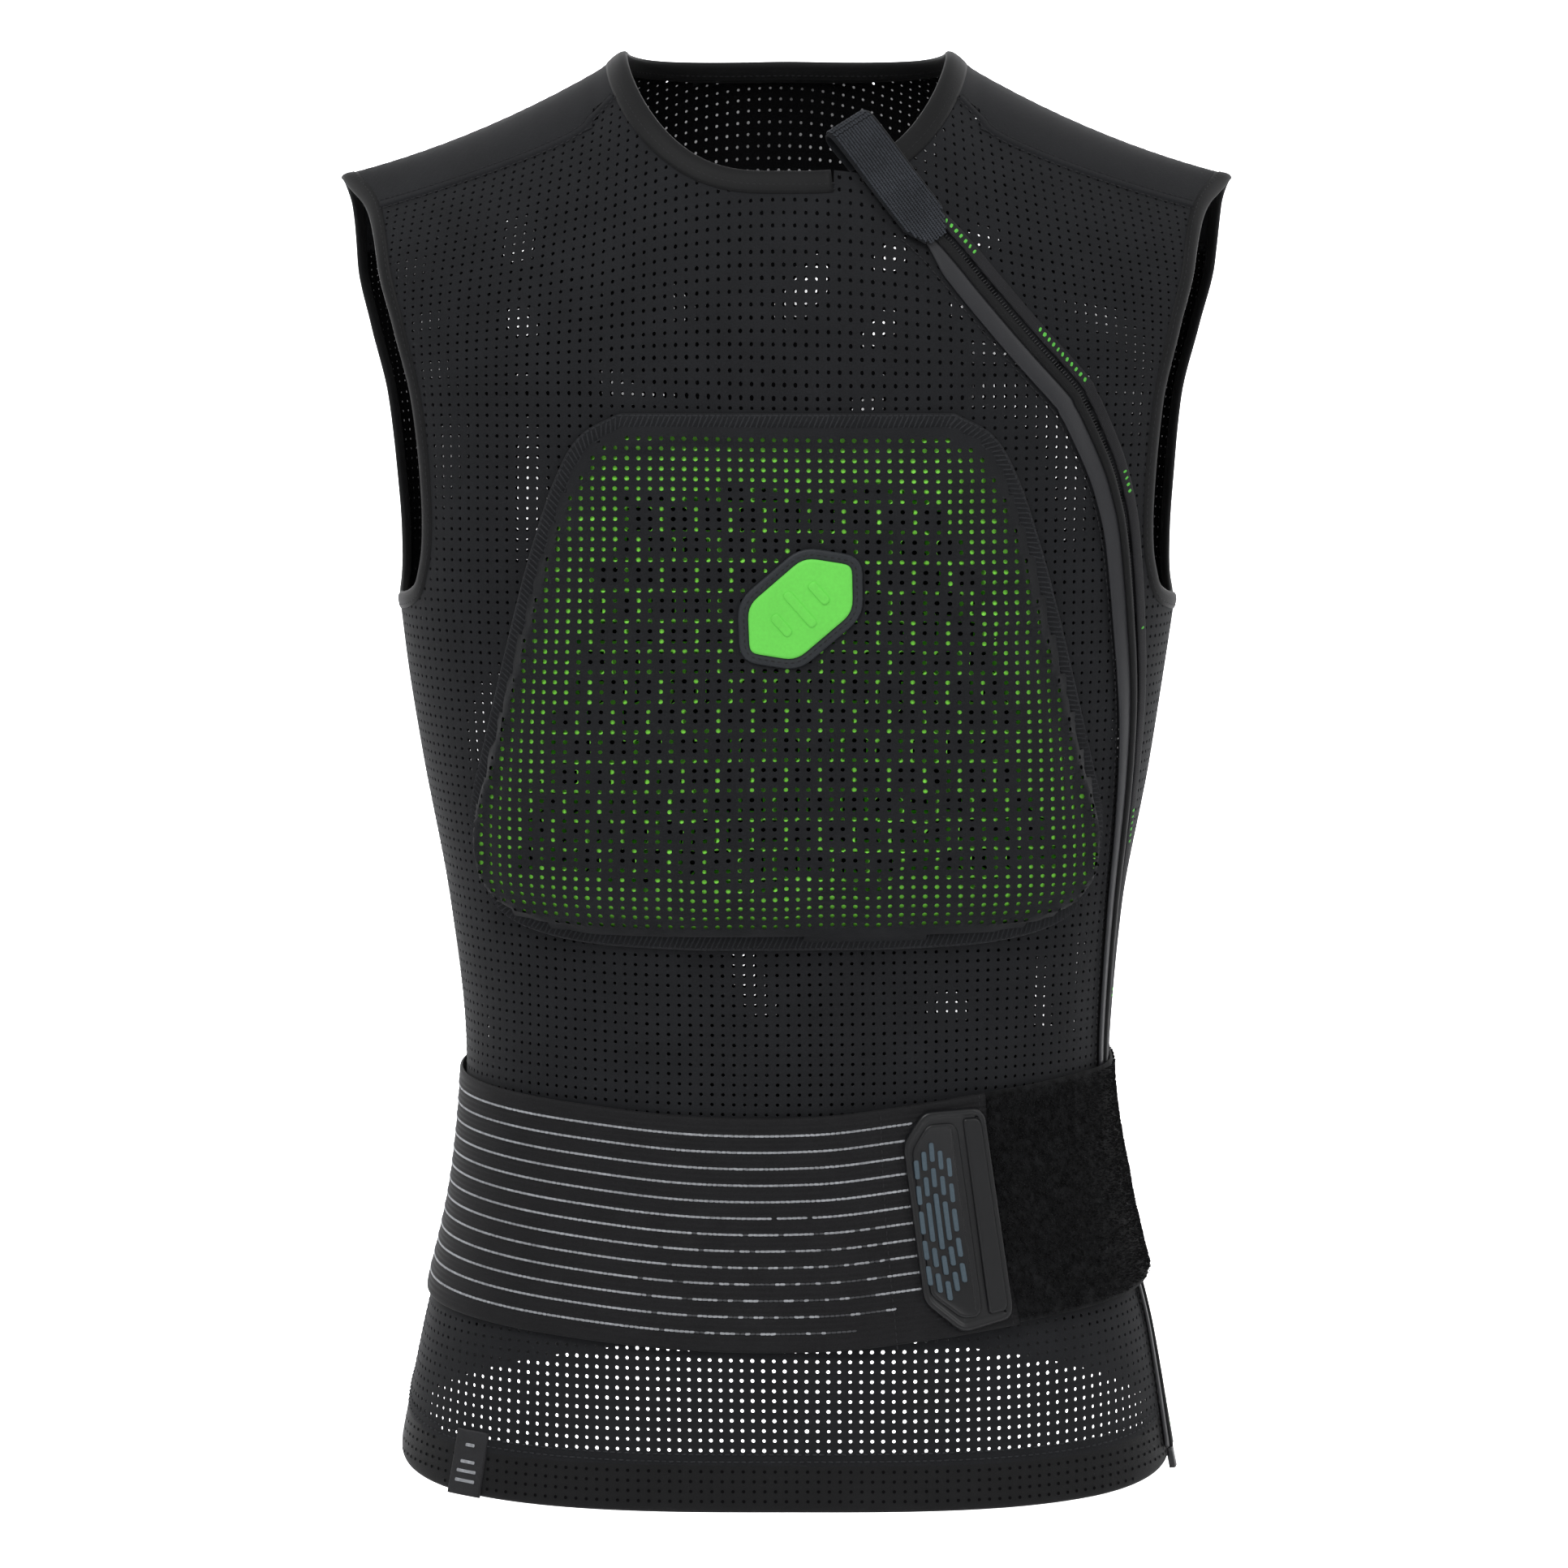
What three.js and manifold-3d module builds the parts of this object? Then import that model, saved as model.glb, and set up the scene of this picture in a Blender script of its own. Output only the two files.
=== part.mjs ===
// Sleeveless protective vest: every cloth piece is drawn flat and wrapped round the body.
// Units are millimetres, +Z is up, the front faces -Y, and the wearer's left is +X.
// The origin is the middle of the neck opening, at the height of the shoulder ridge.
import * as THREE from 'three'
import { mergeVertices } from 'three/addons/utils/BufferGeometryUtils.js'
import Module from 'manifold-3d'

const wasm = await Module()
wasm.setup()

// Body sizes
const CHEST_HALF_WIDTH = 184
const FRONT_DEPTH = 107
const BACK_DEPTH = 106
const BODY_LENGTH = 669
const CHEST_LINE_DROP = 150
const NECK_HALF_WIDTH = 88
const SHOULDER_HALF_WIDTH = 200
const SHOULDER_DROP = 47
const NECK_RISE = 35
const RIDGE_HEIGHT = 2
const BACK_HEM_RISE = 37

// Flat pattern sizes: quarter of the girth, and the run from the chest line over the shoulder
const QUARTER_GIRTH = 240
const ARCH_RUN = 130

// Cloth and clearances
const CLOTH = 1.2
const SEAM_GAP = 0.6
const LAYER_GAP = 0.4
const BINDING_THICKNESS = 2.6
const BINDING_SINK = 0.7
const COLLAR_BINDING_WIDTH = 9
const ARM_BINDING_WIDTH = 6
const HEM_BAND_HEIGHT = 24
const HEM_BAND_THICKNESS = 2.2

// Neck opening in the flat pattern
const NECK_PATTERN_HALF_WIDTH = 72
const NECK_FRONT_DEPTH = 91
const NECK_BACK_DEPTH = 55.5
const NECK_FRONT_SQUARENESS = 2.7
const NECK_BACK_SQUARENESS = 2.25

// Shoulder yokes and armholes in the flat pattern
const YOKE_FRONT_RUN = 55
const YOKE_BACK_RUN = 75
const YOKE_NECK_DIP = 10
const YOKE_INNER_SHARE = 0.85
const YOKE_BACK_TURN = 120
const YOKE_NECK_BACK_RUN = 22
const ARMHOLE_RUN = 231
const ARMHOLE_REACH = 213

// Zip
const ZIP_GAP_HALF = 2.2
const ZIP_COIL_WIDTH = 2.4
const ZIP_COIL_THICKNESS = 1.6
const ZIP_TAPE_WIDTH = 5
const ZIP_TAPE_THICKNESS = 0.8
const ZIP_GUARD_WIDTH = 10.5
const ZIP_END_HEIGHT = 9
const ZIP_END_WIDTH = 7
const ZIP_END_THICKNESS = 2.4
const GARAGE_WIDTH = 18
const GARAGE_THICKNESS = 2.4

// Chest pocket and pad
const POCKET_TOP_DROP = 140
const POCKET_HEIGHT = 240
const POCKET_ZIP_GAP = 3.4
const POCKET_WIDEST_SHARE = 0.84
const PAD_INSET = 12
const PAD_CLEARANCE = 0.8
const PAD_TOP_RISE = 13
const PAD_BOTTOM_RISE = 21
const PAD_EASE = 36
const POCKET_SEAM_WIDTH = 7.5
const POCKET_SEAM_THICKNESS = 1

// Badge
const BADGE_DROP = 224
const BADGE_OFFSET = 6
const BADGE_LENGTH = 72
const BADGE_WIDTH = 42
const BADGE_TILT = 0.72
const BADGE_RIM = 4.5
const BADGE_RIM_THICKNESS = 1.6
const BADGE_FACE_THICKNESS = 1.2

// Belt
const BELT_THICKNESS = 1.5
const BELT_HEIGHT = 110
const BELT_TOP_RISE = 186
const LOOP_PANEL_START = 60
const LOOP_PANEL_END = 262
const ELASTIC_START = -300
const ELASTIC_END = 108
const ELASTIC_LEAN = 7
const LAP_START = 8
const LAP_RUN = 26

// Pull patch on the belt
const GRIP_BELOW_TOP = 49
const GRIP_OFFSET = 87
const GRIP_WIDTH = 40
const GRIP_HEIGHT = 104
const GRIP_LEAN = 0.045
const GRIP_THICKNESS = 2.8
const GRIP_BAR_WIDTH = 2.4
const GRIP_BAR_THICKNESS = 0.8
const GRIP_FIELD_OFFSET = -7
const GRIP_COLUMN_PITCH = 3.8
const GRIP_BAR_LENGTH = 9.2
const GRIP_BAR_GAP = 2.8

// Hem label
const LABEL_WIDTH = 18
const LABEL_HEIGHT = 30
const LABEL_OFFSET = -152
const LABEL_THICKNESS = 0.8

// Facets of the body surface, shared by every wrapped piece
const COLUMNS_PER_QUARTER = 6
const ARCH_ROWS = 4
const BODY_ROWS = 11

const SHEET_RUN = BODY_LENGTH - CHEST_LINE_DROP + ARCH_RUN
const beltTopDrop = SHEET_RUN - BELT_TOP_RISE
const gripDrop = beltTopDrop + GRIP_BELOW_TOP

// Level sections of the body, as shares of its length, half width and depths
const SECTIONS = [
  { drop: -0.06, width: 1.135, front: 0.92, back: 0.97, frontSquare: 2.6, backSquare: 3.4 },
  { drop: 0.0, width: 1.135, front: 0.93, back: 0.98, frontSquare: 2.6, backSquare: 3.4 },
  { drop: 0.13, width: 1.135, front: 0.96, back: 1.01, frontSquare: 2.6, backSquare: 3.4 },
  { drop: 0.175, width: 1.098, front: 0.975, back: 1.02, frontSquare: 2.6, backSquare: 3.3 },
  { drop: 0.225, width: 1.05, front: 0.99, back: 1.02, frontSquare: 2.6, backSquare: 3.1 },
  { drop: 0.3, width: 1.02, front: 1.0, back: 1.02, frontSquare: 2.6, backSquare: 2.9 },
  { drop: 0.375, width: 0.998, front: 1.0, back: 0.98, frontSquare: 2.6, backSquare: 2.7 },
  { drop: 0.48, width: 0.946, front: 0.98, back: 0.92, frontSquare: 2.5, backSquare: 2.5 },
  { drop: 0.585, width: 0.878, front: 0.93, back: 0.85, frontSquare: 2.4, backSquare: 2.4 },
  { drop: 0.695, width: 0.837, front: 0.89, back: 0.79, frontSquare: 2.4, backSquare: 2.4 },
  { drop: 0.79, width: 0.862, front: 0.91, back: 0.83, frontSquare: 2.4, backSquare: 2.4 },
  { drop: 0.9, width: 0.955, front: 0.96, back: 0.93, frontSquare: 2.4, backSquare: 2.4 },
  { drop: 1.0, width: 1.028, front: 1.01, back: 1.0, frontSquare: 2.4, backSquare: 2.4 },
]

// The zip's line from the collar to the hem, as shares of the sheet's run and, round the body,
// of the armhole's reach above the underarm or of the quarter girth below it
const ZIP_LINE = [
  { reach: 0.079, around: 0, drop: 0.118 },
  { reach: 0.192, around: 0, drop: 0.1355 },
  { reach: 0.29, around: 0, drop: 0.147 },
  { reach: 0.399, around: 0, drop: 0.165 },
  { reach: 0.491, around: 0, drop: 0.18 },
  { reach: 0.585, around: 0, drop: 0.1945 },
  { reach: 0.61, around: 0, drop: 0.2 },
  { reach: 0.631, around: 0, drop: 0.21 },
  { reach: 0.688, around: 0, drop: 0.243 },
  { reach: 0.72, around: 0, drop: 0.267 },
  { reach: 0.748, around: 0, drop: 0.295 },
  { reach: 0.785, around: 0, drop: 0.355 },
  { reach: 0, around: 0.749, drop: 0.43 },
  { reach: 0, around: 0.787, drop: 0.52 },
  { reach: 0, around: 0.825, drop: 0.6 },
  { reach: 0, around: 0.85, drop: 0.68 },
  { reach: 0, around: 0.895, drop: 0.77 },
  { reach: 0, around: 0.925, drop: 0.865 },
  { reach: 0, around: 0.9, drop: 0.93 },
  { reach: 0, around: 0.865, drop: 1.02 },
]
const ZIP_PLACES = ZIP_LINE.map(({ reach, around, drop }) => ({
  place: reach * ARMHOLE_REACH + around * QUARTER_GIRTH,
  drop: drop * SHEET_RUN,
}))

// The armhole's seam, as shares of its reach and run, from the ridge to the underarm
const ARMHOLE_FRONT = [
  { reach: 0.985, drop: 0.0 },
  { reach: 0.935, drop: 0.1 },
  { reach: 0.84, drop: 0.24 },
  { reach: 0.8, drop: 0.42 },
  { reach: 0.8, drop: 0.62 },
  { reach: 0.805, drop: 0.8 },
  { reach: 0.83, drop: 0.91 },
  { reach: 0.9, drop: 0.975 },
  { reach: 1.0, drop: 0.998 },
]
const ARMHOLE_BACK = [
  { reach: 0.985, drop: 0.0 },
  { reach: 0.98, drop: 0.15 },
  { reach: 0.98, drop: 0.4 },
  { reach: 0.985, drop: 0.65 },
  { reach: 0.995, drop: 0.85 },
  { reach: 1.03, drop: 0.95 },
  { reach: 1.0, drop: 0.998 },
]

// Half of the pocket's outline, as shares of its half width and height, from the top down
const POCKET_OUTLINE = [
  { half: 0.44, down: 0.0 },
  { half: 0.54, down: 0.04 },
  { half: 0.61, down: 0.12 },
  { half: 0.68, down: 0.24 },
  { half: 0.75, down: 0.38 },
  { half: 0.83, down: 0.53 },
  { half: 0.91, down: 0.66 },
  { half: 0.98, down: 0.76 },
  { half: 1.0, down: POCKET_WIDEST_SHARE },
  { half: 0.975, down: 0.91 },
  { half: 0.89, down: 0.96 },
  { half: 0.66, down: 0.99 },
  { half: 0.3, down: 1.0 },
]

// Height of the belt's upper edge above its middle line, as shares of the belt's height
const BELT_EDGE = [
  { around: -1.3, rise: 0.1 },
  { around: -0.85, rise: 0.08 },
  { around: -0.5, rise: 0.04 },
  { around: -0.2, rise: 0.0 },
  { around: 0.05, rise: 0.0 },
  { around: 0.25, rise: 0.04 },
  { around: 0.5, rise: 0.095 },
  { around: 0.85, rise: 0.14 },
  { around: 1.2, rise: 0.155 },
  { around: 2.0, rise: 0.14 },
  { around: 2.7, rise: 0.1 },
]

// Height of the hem round the body, as shares of the back hem's rise
const HEM_EDGE = [
  { around: 0, rise: 0 },
  { around: 0.6, rise: 0 },
  { around: 0.85, rise: 0.14 },
  { around: 1.0, rise: 0.38 },
  { around: 1.3, rise: 0.66 },
  { around: 2.0, rise: 1.0 },
]

// Each column of raised bars: the length of its middle bar as a share of the patch's height
const GRIP_COLUMNS = [
  { long: 0.106 },
  { long: 0.178 },
  { long: 0.255 },
  { long: 0.178 },
  { long: 0.106 },
]
const BARS_PER_COLUMN = 5
const LONG_BAR = 2

const MATERIALS = {
  knit: { color: 0x1d1e21, roughness: 0.9, metalness: 0 },
  yoke: { color: 0x191a1d, roughness: 0.85, metalness: 0 },
  binding: { color: 0x141517, roughness: 0.7, metalness: 0 },
  guard: { color: 0x2a2c30, roughness: 0.4, metalness: 0 },
  zip: { color: 0x17181a, roughness: 0.6, metalness: 0 },
  garage: { color: 0x33373e, roughness: 0.95, metalness: 0 },
  foam: { color: 0x55c83c, roughness: 0.7, metalness: 0 },
  badgeRim: { color: 0x2c3035, roughness: 0.6, metalness: 0 },
  badgeFace: { color: 0x5fdc46, roughness: 0.45, metalness: 0 },
  elastic: { color: 0x1b1c1e, roughness: 0.8, metalness: 0 },
  loop: { color: 0x121314, roughness: 1, metalness: 0 },
  grip: { color: 0x222427, roughness: 0.5, metalness: 0 },
  bar: { color: 0x55636f, roughness: 0.55, metalness: 0 },
  label: { color: 0x1a1b1d, roughness: 0.8, metalness: 0 },
}

// Smooth interpolation of one column of a table over another
function along(table, key, value, at) {
  const last = table.length - 1
  const slope = (i) => {
    const low = table[Math.max(i - 1, 0)]
    const high = table[Math.min(i + 1, last)]
    return (high[value] - low[value]) / (high[key] - low[key])
  }
  const x = Math.min(Math.max(at, table[0][key]), table[last][key])
  let i = 0
  while (i < last - 1 && x > table[i + 1][key]) i += 1
  const run = table[i + 1][key] - table[i][key]
  const t = (x - table[i][key]) / run
  const square = t * t
  const cube = square * t
  return (2 * cube - 3 * square + 1) * table[i][value]
    + (cube - 2 * square + t) * run * slope(i)
    + (3 * square - 2 * cube) * table[i + 1][value]
    + (cube - square) * run * slope(i + 1)
}

// Share of the half width reached at each share of the way round a quarter section
const REFERENCE_SQUARE = 2.6
const REFERENCE_ASPECT = FRONT_DEPTH / CHEST_HALF_WIDTH
const ARC_STEPS = 400
const QUARTER_ARC = [{ arc: 0, side: 0 }]
for (let step = 1; step <= ARC_STEPS; step += 1) {
  const point = (k) => {
    const angle = (Math.PI / 2) * (k / ARC_STEPS)
    const power = 2 / REFERENCE_SQUARE
    return [Math.sin(angle) ** power, REFERENCE_ASPECT * Math.cos(angle) ** power]
  }
  const [x0, y0] = point(step - 1)
  const [x1, y1] = point(step)
  QUARTER_ARC.push({ arc: QUARTER_ARC[step - 1].arc + Math.hypot(x1 - x0, y1 - y0), side: x1 })
}
const ARC_LENGTH = QUARTER_ARC[ARC_STEPS].arc

function sideShare(around) {
  const wanted = Math.min(Math.abs(around), 1) * ARC_LENGTH
  let i = 1
  while (i < ARC_STEPS && QUARTER_ARC[i].arc < wanted) i += 1
  const low = QUARTER_ARC[i - 1]
  const high = QUARTER_ARC[i]
  const share = (wanted - low.arc) / (high.arc - low.arc)
  return Math.sign(around) * (low.side + share * (high.side - low.side))
}

// Height of the shoulder ridge over a place across the body
const RIDGE_STRAIGHT = 1.35
const RIDGE_ROUND = 0.35
function ridgeHeight(x) {
  const out = Math.abs(x)
  if (out < NECK_HALF_WIDTH) return RIDGE_HEIGHT + NECK_RISE * (1 - (out / NECK_HALF_WIDTH) ** 2)
  const share = (out - NECK_HALF_WIDTH) / (SHOULDER_HALF_WIDTH - NECK_HALF_WIDTH)
  return RIDGE_HEIGHT - SHOULDER_DROP * (RIDGE_STRAIGHT * share - RIDGE_ROUND * share * share)
}

// Point of the body for a place in the flat pattern: a goes round from the front centre,
// v is 0 on the shoulder ridge, negative down the front and positive down the back.
const FRONT_ARCH = { rise: 2.2, round: 2.0 }
const BACK_ARCH = { rise: 4.0, round: 2.6 }
function bodyPoint(a, v) {
  const turn = a / QUARTER_GIRTH + 1
  let around = turn - 4 * Math.floor(turn / 4) - 1
  let back = v > 0
  if (around > 1) {
    around = 2 - around
    back = !back
  }
  const down = -Math.abs(v)
  const lift = Math.min(Math.max((down + ARCH_RUN) / ARCH_RUN, 0), 1)
  const share = 1 - (1 - lift) ** 2
  const side = sideShare(around)
  const top = ridgeHeight(CHEST_HALF_WIDTH * SECTIONS[0].width * side)
  const low = -CHEST_LINE_DROP + Math.min(down + ARCH_RUN, 0)
  const z = low + share * (top + CHEST_LINE_DROP)
  const at = (column) => along(SECTIONS, 'drop', column, -z / BODY_LENGTH)
  const square = at(back ? 'backSquare' : 'frontSquare')
  const section = (1 - Math.abs(side) ** square) ** (1 / square)
  const arch = back ? BACK_ARCH : FRONT_ARCH
  const closing = (1 - share ** arch.rise) ** (1 / arch.round)
  const depth = back ? BACK_DEPTH * at('back') : -FRONT_DEPTH * at('front')
  return new THREE.Vector3(CHEST_HALF_WIDTH * at('width') * side, depth * section * closing, z)
}

// Places of the facet lines
const columnPlace = (i) => (i / COLUMNS_PER_QUARTER) * QUARTER_GIRTH
function rowPlace(j) {
  const rows = Math.abs(j)
  const run = rows <= ARCH_ROWS
    ? (rows / ARCH_ROWS) * ARCH_RUN
    : ARCH_RUN + ((rows - ARCH_ROWS) / BODY_ROWS) * (SHEET_RUN - ARCH_RUN)
  return Math.sign(j) * run
}
const columnOf = (a) => (a / QUARTER_GIRTH) * COLUMNS_PER_QUARTER
function rowOf(v) {
  const run = Math.abs(v)
  const rows = run <= ARCH_RUN
    ? (run / ARCH_RUN) * ARCH_ROWS
    : ARCH_ROWS + ((run - ARCH_RUN) / (SHEET_RUN - ARCH_RUN)) * BODY_ROWS
  return Math.sign(v) * rows
}

// Corner of the body's facets: its point and outward normal
const corners = new Map()
const NORMAL_STEP = 0.5
function corner(i, j) {
  const key = `${i},${j}`
  if (!corners.has(key)) {
    const a = columnPlace(i)
    const v = rowPlace(j)
    const across = bodyPoint(a + NORMAL_STEP, v).sub(bodyPoint(a - NORMAL_STEP, v))
    const up = bodyPoint(a, v + NORMAL_STEP).sub(bodyPoint(a, v - NORMAL_STEP))
    corners.set(key, { point: bodyPoint(a, v), normal: across.cross(up).normalize() })
  }
  return corners.get(key)
}

// Whether a cell's diagonal climbs to the right, mirrored about the centre, sides and ridge
const climbs = (i, j, fine) => {
  const quarter = Math.floor(i / (COLUMNS_PER_QUARTER * fine))
  return (Math.abs(quarter) + (j >= 0 ? 1 : 0)) % 2 === 0
}

// The three corners of the facet round a place, with their weights
function facet(a, v, fine = 1) {
  const column = columnOf(a) * fine
  const row = rowOf(v) * fine
  const i = Math.floor(column)
  const j = Math.floor(row)
  const s = column - i
  const t = row - j
  if (climbs(i, j, fine)) {
    return s > t
      ? [[i, j, 1 - s], [i + 1, j, s - t], [i + 1, j + 1, t]]
      : [[i, j, 1 - t], [i, j + 1, t - s], [i + 1, j + 1, s]]
  }
  return s + t < 1
    ? [[i, j, 1 - s - t], [i + 1, j, s], [i, j + 1, t]]
    : [[i + 1, j + 1, s + t - 1], [i, j + 1, 1 - s], [i + 1, j, 1 - t]]
}

// Height of a layer, taken between the corners of the facets
function layerHeight(height, a, v, fine) {
  if (typeof height === 'number') return height
  let sum = 0
  for (const [i, j, weight] of facet(a, v, fine)) {
    if (weight > 0) sum += weight * height(columnPlace(i / fine), rowPlace(j / fine))
  }
  return sum
}

function onBody(a, v, height) {
  const place = new THREE.Vector3()
  const normal = new THREE.Vector3()
  for (const [i, j, weight] of facet(a, v)) {
    const at = corner(i, j)
    place.addScaledVector(at.point, weight)
    normal.addScaledVector(at.normal, weight)
  }
  return place.addScaledVector(normal, height)
}

// Conversion between three.js geometry and solids
function solidFrom(geometry) {
  const bare = geometry.clone()
  bare.deleteAttribute('normal')
  bare.deleteAttribute('uv')
  const merged = mergeVertices(bare, 1e-4)
  return new wasm.Manifold(new wasm.Mesh({
    numProp: 3,
    vertProperties: Float32Array.from(merged.attributes.position.array),
    triVerts: Uint32Array.from(merged.index.array),
  }))
}

// A tall prism on a flat outline
const PRISM_HALF_HEIGHT = 100
function prism(points) {
  const shape = new THREE.Shape(points)
  const geometry = new THREE.ExtrudeGeometry(shape, { depth: 2 * PRISM_HALF_HEIGHT, bevelEnabled: false })
  geometry.translate(0, 0, -PRISM_HALF_HEIGHT)
  return solidFrom(geometry)
}

// The flat sheet that pieces are cut from, dimpled so that its facet lines stay
const DIMPLE = 3
const SHEET_HALF = 50
const dimple = (i, j) => ((i + j) % 2 === 0 ? DIMPLE : -DIMPLE)
function sheet(outline, fine) {
  const box = new THREE.Box2().setFromPoints(outline)
  const i0 = Math.floor(columnOf(box.min.x) * fine) - 1
  const i1 = Math.ceil(columnOf(box.max.x) * fine) + 1
  const j0 = Math.floor(rowOf(box.min.y) * fine) - 1
  const j1 = Math.ceil(rowOf(box.max.y) * fine) + 1
  const wide = i1 - i0 + 1
  const high = j1 - j0 + 1
  const positions = []
  const faces = []
  for (const side of [1, -1]) {
    for (let j = j0; j <= j1; j += 1) {
      for (let i = i0; i <= i1; i += 1) {
        const a = columnPlace(i / fine)
        const v = rowPlace(j / fine)
        positions.push(a, v, dimple(i, j) + side * SHEET_HALF)
      }
    }
  }
  const top = (i, j) => (j - j0) * wide + (i - i0)
  const under = (i, j) => top(i, j) + wide * high
  const quad = (p, q, r, s) => faces.push(p, q, r, p, r, s)
  for (let j = j0; j < j1; j += 1) {
    for (let i = i0; i < i1; i += 1) {
      if (climbs(i, j, fine)) {
        quad(top(i, j), top(i + 1, j), top(i + 1, j + 1), top(i, j + 1))
        quad(under(i, j), under(i, j + 1), under(i + 1, j + 1), under(i + 1, j))
      } else {
        quad(top(i + 1, j), top(i + 1, j + 1), top(i, j + 1), top(i, j))
        quad(under(i, j + 1), under(i + 1, j + 1), under(i + 1, j), under(i, j))
      }
    }
  }
  for (let i = i0; i < i1; i += 1) {
    quad(under(i, j0), under(i + 1, j0), top(i + 1, j0), top(i, j0))
    quad(under(i + 1, j1), under(i, j1), top(i, j1), top(i + 1, j1))
  }
  for (let j = j0; j < j1; j += 1) {
    quad(under(i1, j), under(i1, j + 1), top(i1, j + 1), top(i1, j))
    quad(under(i0, j + 1), under(i0, j), top(i0, j), top(i0, j + 1))
  }
  return new wasm.Manifold(new wasm.Mesh({
    numProp: 3,
    vertProperties: Float32Array.from(positions),
    triVerts: Uint32Array.from(faces),
  }))
}

const vest = new THREE.Group()
vest.name = 'protective_vest'

// The first facet line that an edge crosses, as a share of the edge, or null
const ON_LINE = 1e-4
function creaseShare([a0, v0], [a1, v1], fine) {
  const places = (low, high, place) => {
    const lines = []
    for (let k = Math.ceil(Math.min(low, high)); k <= Math.floor(Math.max(low, high)); k += 1) {
      const clear = Math.min(Math.abs(low - k), Math.abs(high - k)) > ON_LINE
      if (clear) lines.push(place(k / fine))
    }
    return lines
  }
  const columns = [columnOf(a0) * fine, columnOf(a1) * fine]
  const rows = [rowOf(v0) * fine, rowOf(v1) * fine]
  for (const a of places(...columns, columnPlace)) return (a - a0) / (a1 - a0)
  for (const v of places(...rows, rowPlace)) return (v - v0) / (v1 - v0)
  const i = Math.floor((columns[0] + columns[1]) / 2)
  const j = Math.floor((rows[0] + rows[1]) / 2)
  const side = climbs(i, j, fine)
    ? (k) => columns[k] - i - (rows[k] - j)
    : (k) => columns[k] - i + (rows[k] - j) - 1
  const crosses = side(0) * side(1) < 0
  const clear = Math.min(Math.abs(side(0)), Math.abs(side(1))) > ON_LINE
  return crosses && clear ? side(0) / (side(0) - side(1)) : null
}

// Split the triangles until none lies across a facet line
const triangleSides = (triangle) => triangle.map((from, k) => [from, triangle[(k + 1) % 3]])
function splitAtCreases(places, triangles, fine) {
  const halfway = new Map()
  const middle = (from, to) => {
    const key = from < to ? `${from},${to}` : `${to},${from}`
    if (!halfway.has(key)) {
      const [p, q] = [places[Math.min(from, to)], places[Math.max(from, to)]]
      const share = creaseShare(p, q, fine)
      halfway.set(key, share === null ? null : places.length)
      if (share !== null) places.push([p[0] + share * (q[0] - p[0]), p[1] + share * (q[1] - p[1])])
    }
    return halfway.get(key)
  }
  const whole = []
  const waiting = [...triangles]
  while (waiting.length > 0) {
    const triangle = waiting.pop()
    const crossed = triangleSides(triangle).findIndex(([from, to]) => middle(from, to) !== null)
    if (crossed < 0) {
      whole.push(triangle)
    } else {
      const [p, q, r] = [0, 1, 2].map((k) => triangle[(crossed + k) % 3])
      const m = middle(p, q)
      waiting.push([p, m, r], [m, q, r])
    }
  }
  return whole
}

// The upper skin of a flat solid: its places, its triangles and its edge
function upperSkin(flat, fine) {
  const mesh = flat.getMesh()
  const places = []
  const renumbered = new Map()
  const number = (k) => {
    if (!renumbered.has(k)) {
      renumbered.set(k, places.length)
      const [a, v] = mesh.vertProperties.subarray(k * mesh.numProp, k * mesh.numProp + 2)
      places.push([a, v])
    }
    return renumbered.get(k)
  }
  const isUpper = (k) => mesh.vertProperties[k * mesh.numProp + 2] > 0
  const upper = []
  for (let t = 0; t < mesh.triVerts.length; t += 3) {
    const triangle = Array.from(mesh.triVerts.subarray(t, t + 3))
    if (triangle.every(isUpper)) upper.push(triangle.map(number))
  }
  const triangles = splitAtCreases(places, upper, fine)
  const directed = new Set()
  for (const triangle of triangles) {
    for (const [from, to] of triangleSides(triangle)) directed.add(`${from},${to}`)
  }
  const edge = triangles.flatMap(triangleSides).filter(([from, to]) => !directed.has(`${to},${from}`))
  return { places, triangles, edge }
}

// Cut an outline from the flat sheet, less other outlines, and wrap it between two heights
function wrap(name, material, outline, { inner, outer, less = [], fine = 1 }) {
  let flat = sheet(outline, fine).intersect(prism(outline))
  for (const cut of less) flat = flat.subtract(prism(cut))
  const { places, triangles, edge } = upperSkin(flat, fine)
  const positions = []
  for (const height of [outer, inner]) {
    for (const [a, v] of places) {
      positions.push(...onBody(a, v, layerHeight(height, a, v, fine)))
    }
  }
  const under = (k) => k + places.length
  const faces = []
  for (const [p, q, r] of triangles) faces.push(p, q, r, under(p), under(r), under(q))
  for (const [p, q] of edge) faces.push(q, p, under(p), q, under(p), under(q))
  const geometry = new THREE.BufferGeometry()
  geometry.setAttribute('position', new THREE.Float32BufferAttribute(positions, 3))
  geometry.setIndex(faces)
  geometry.computeVertexNormals()
  const piece = new THREE.Mesh(geometry, new THREE.MeshStandardMaterial(MATERIALS[material]))
  piece.name = name
  vest.add(piece)
  return piece
}

// Real length of one flat millimetre, across and up, at a place
const flatPoint = (a, v) => new THREE.Vector2(a, v)
const STRETCH_STEP = 2
function stretchAt(a, v) {
  const across = bodyPoint(a + STRETCH_STEP, v).distanceTo(bodyPoint(a - STRETCH_STEP, v))
  const up = bodyPoint(a, v + STRETCH_STEP).distanceTo(bodyPoint(a, v - STRETCH_STEP))
  return flatPoint(across / (2 * STRETCH_STEP), up / (2 * STRETCH_STEP))
}

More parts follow.
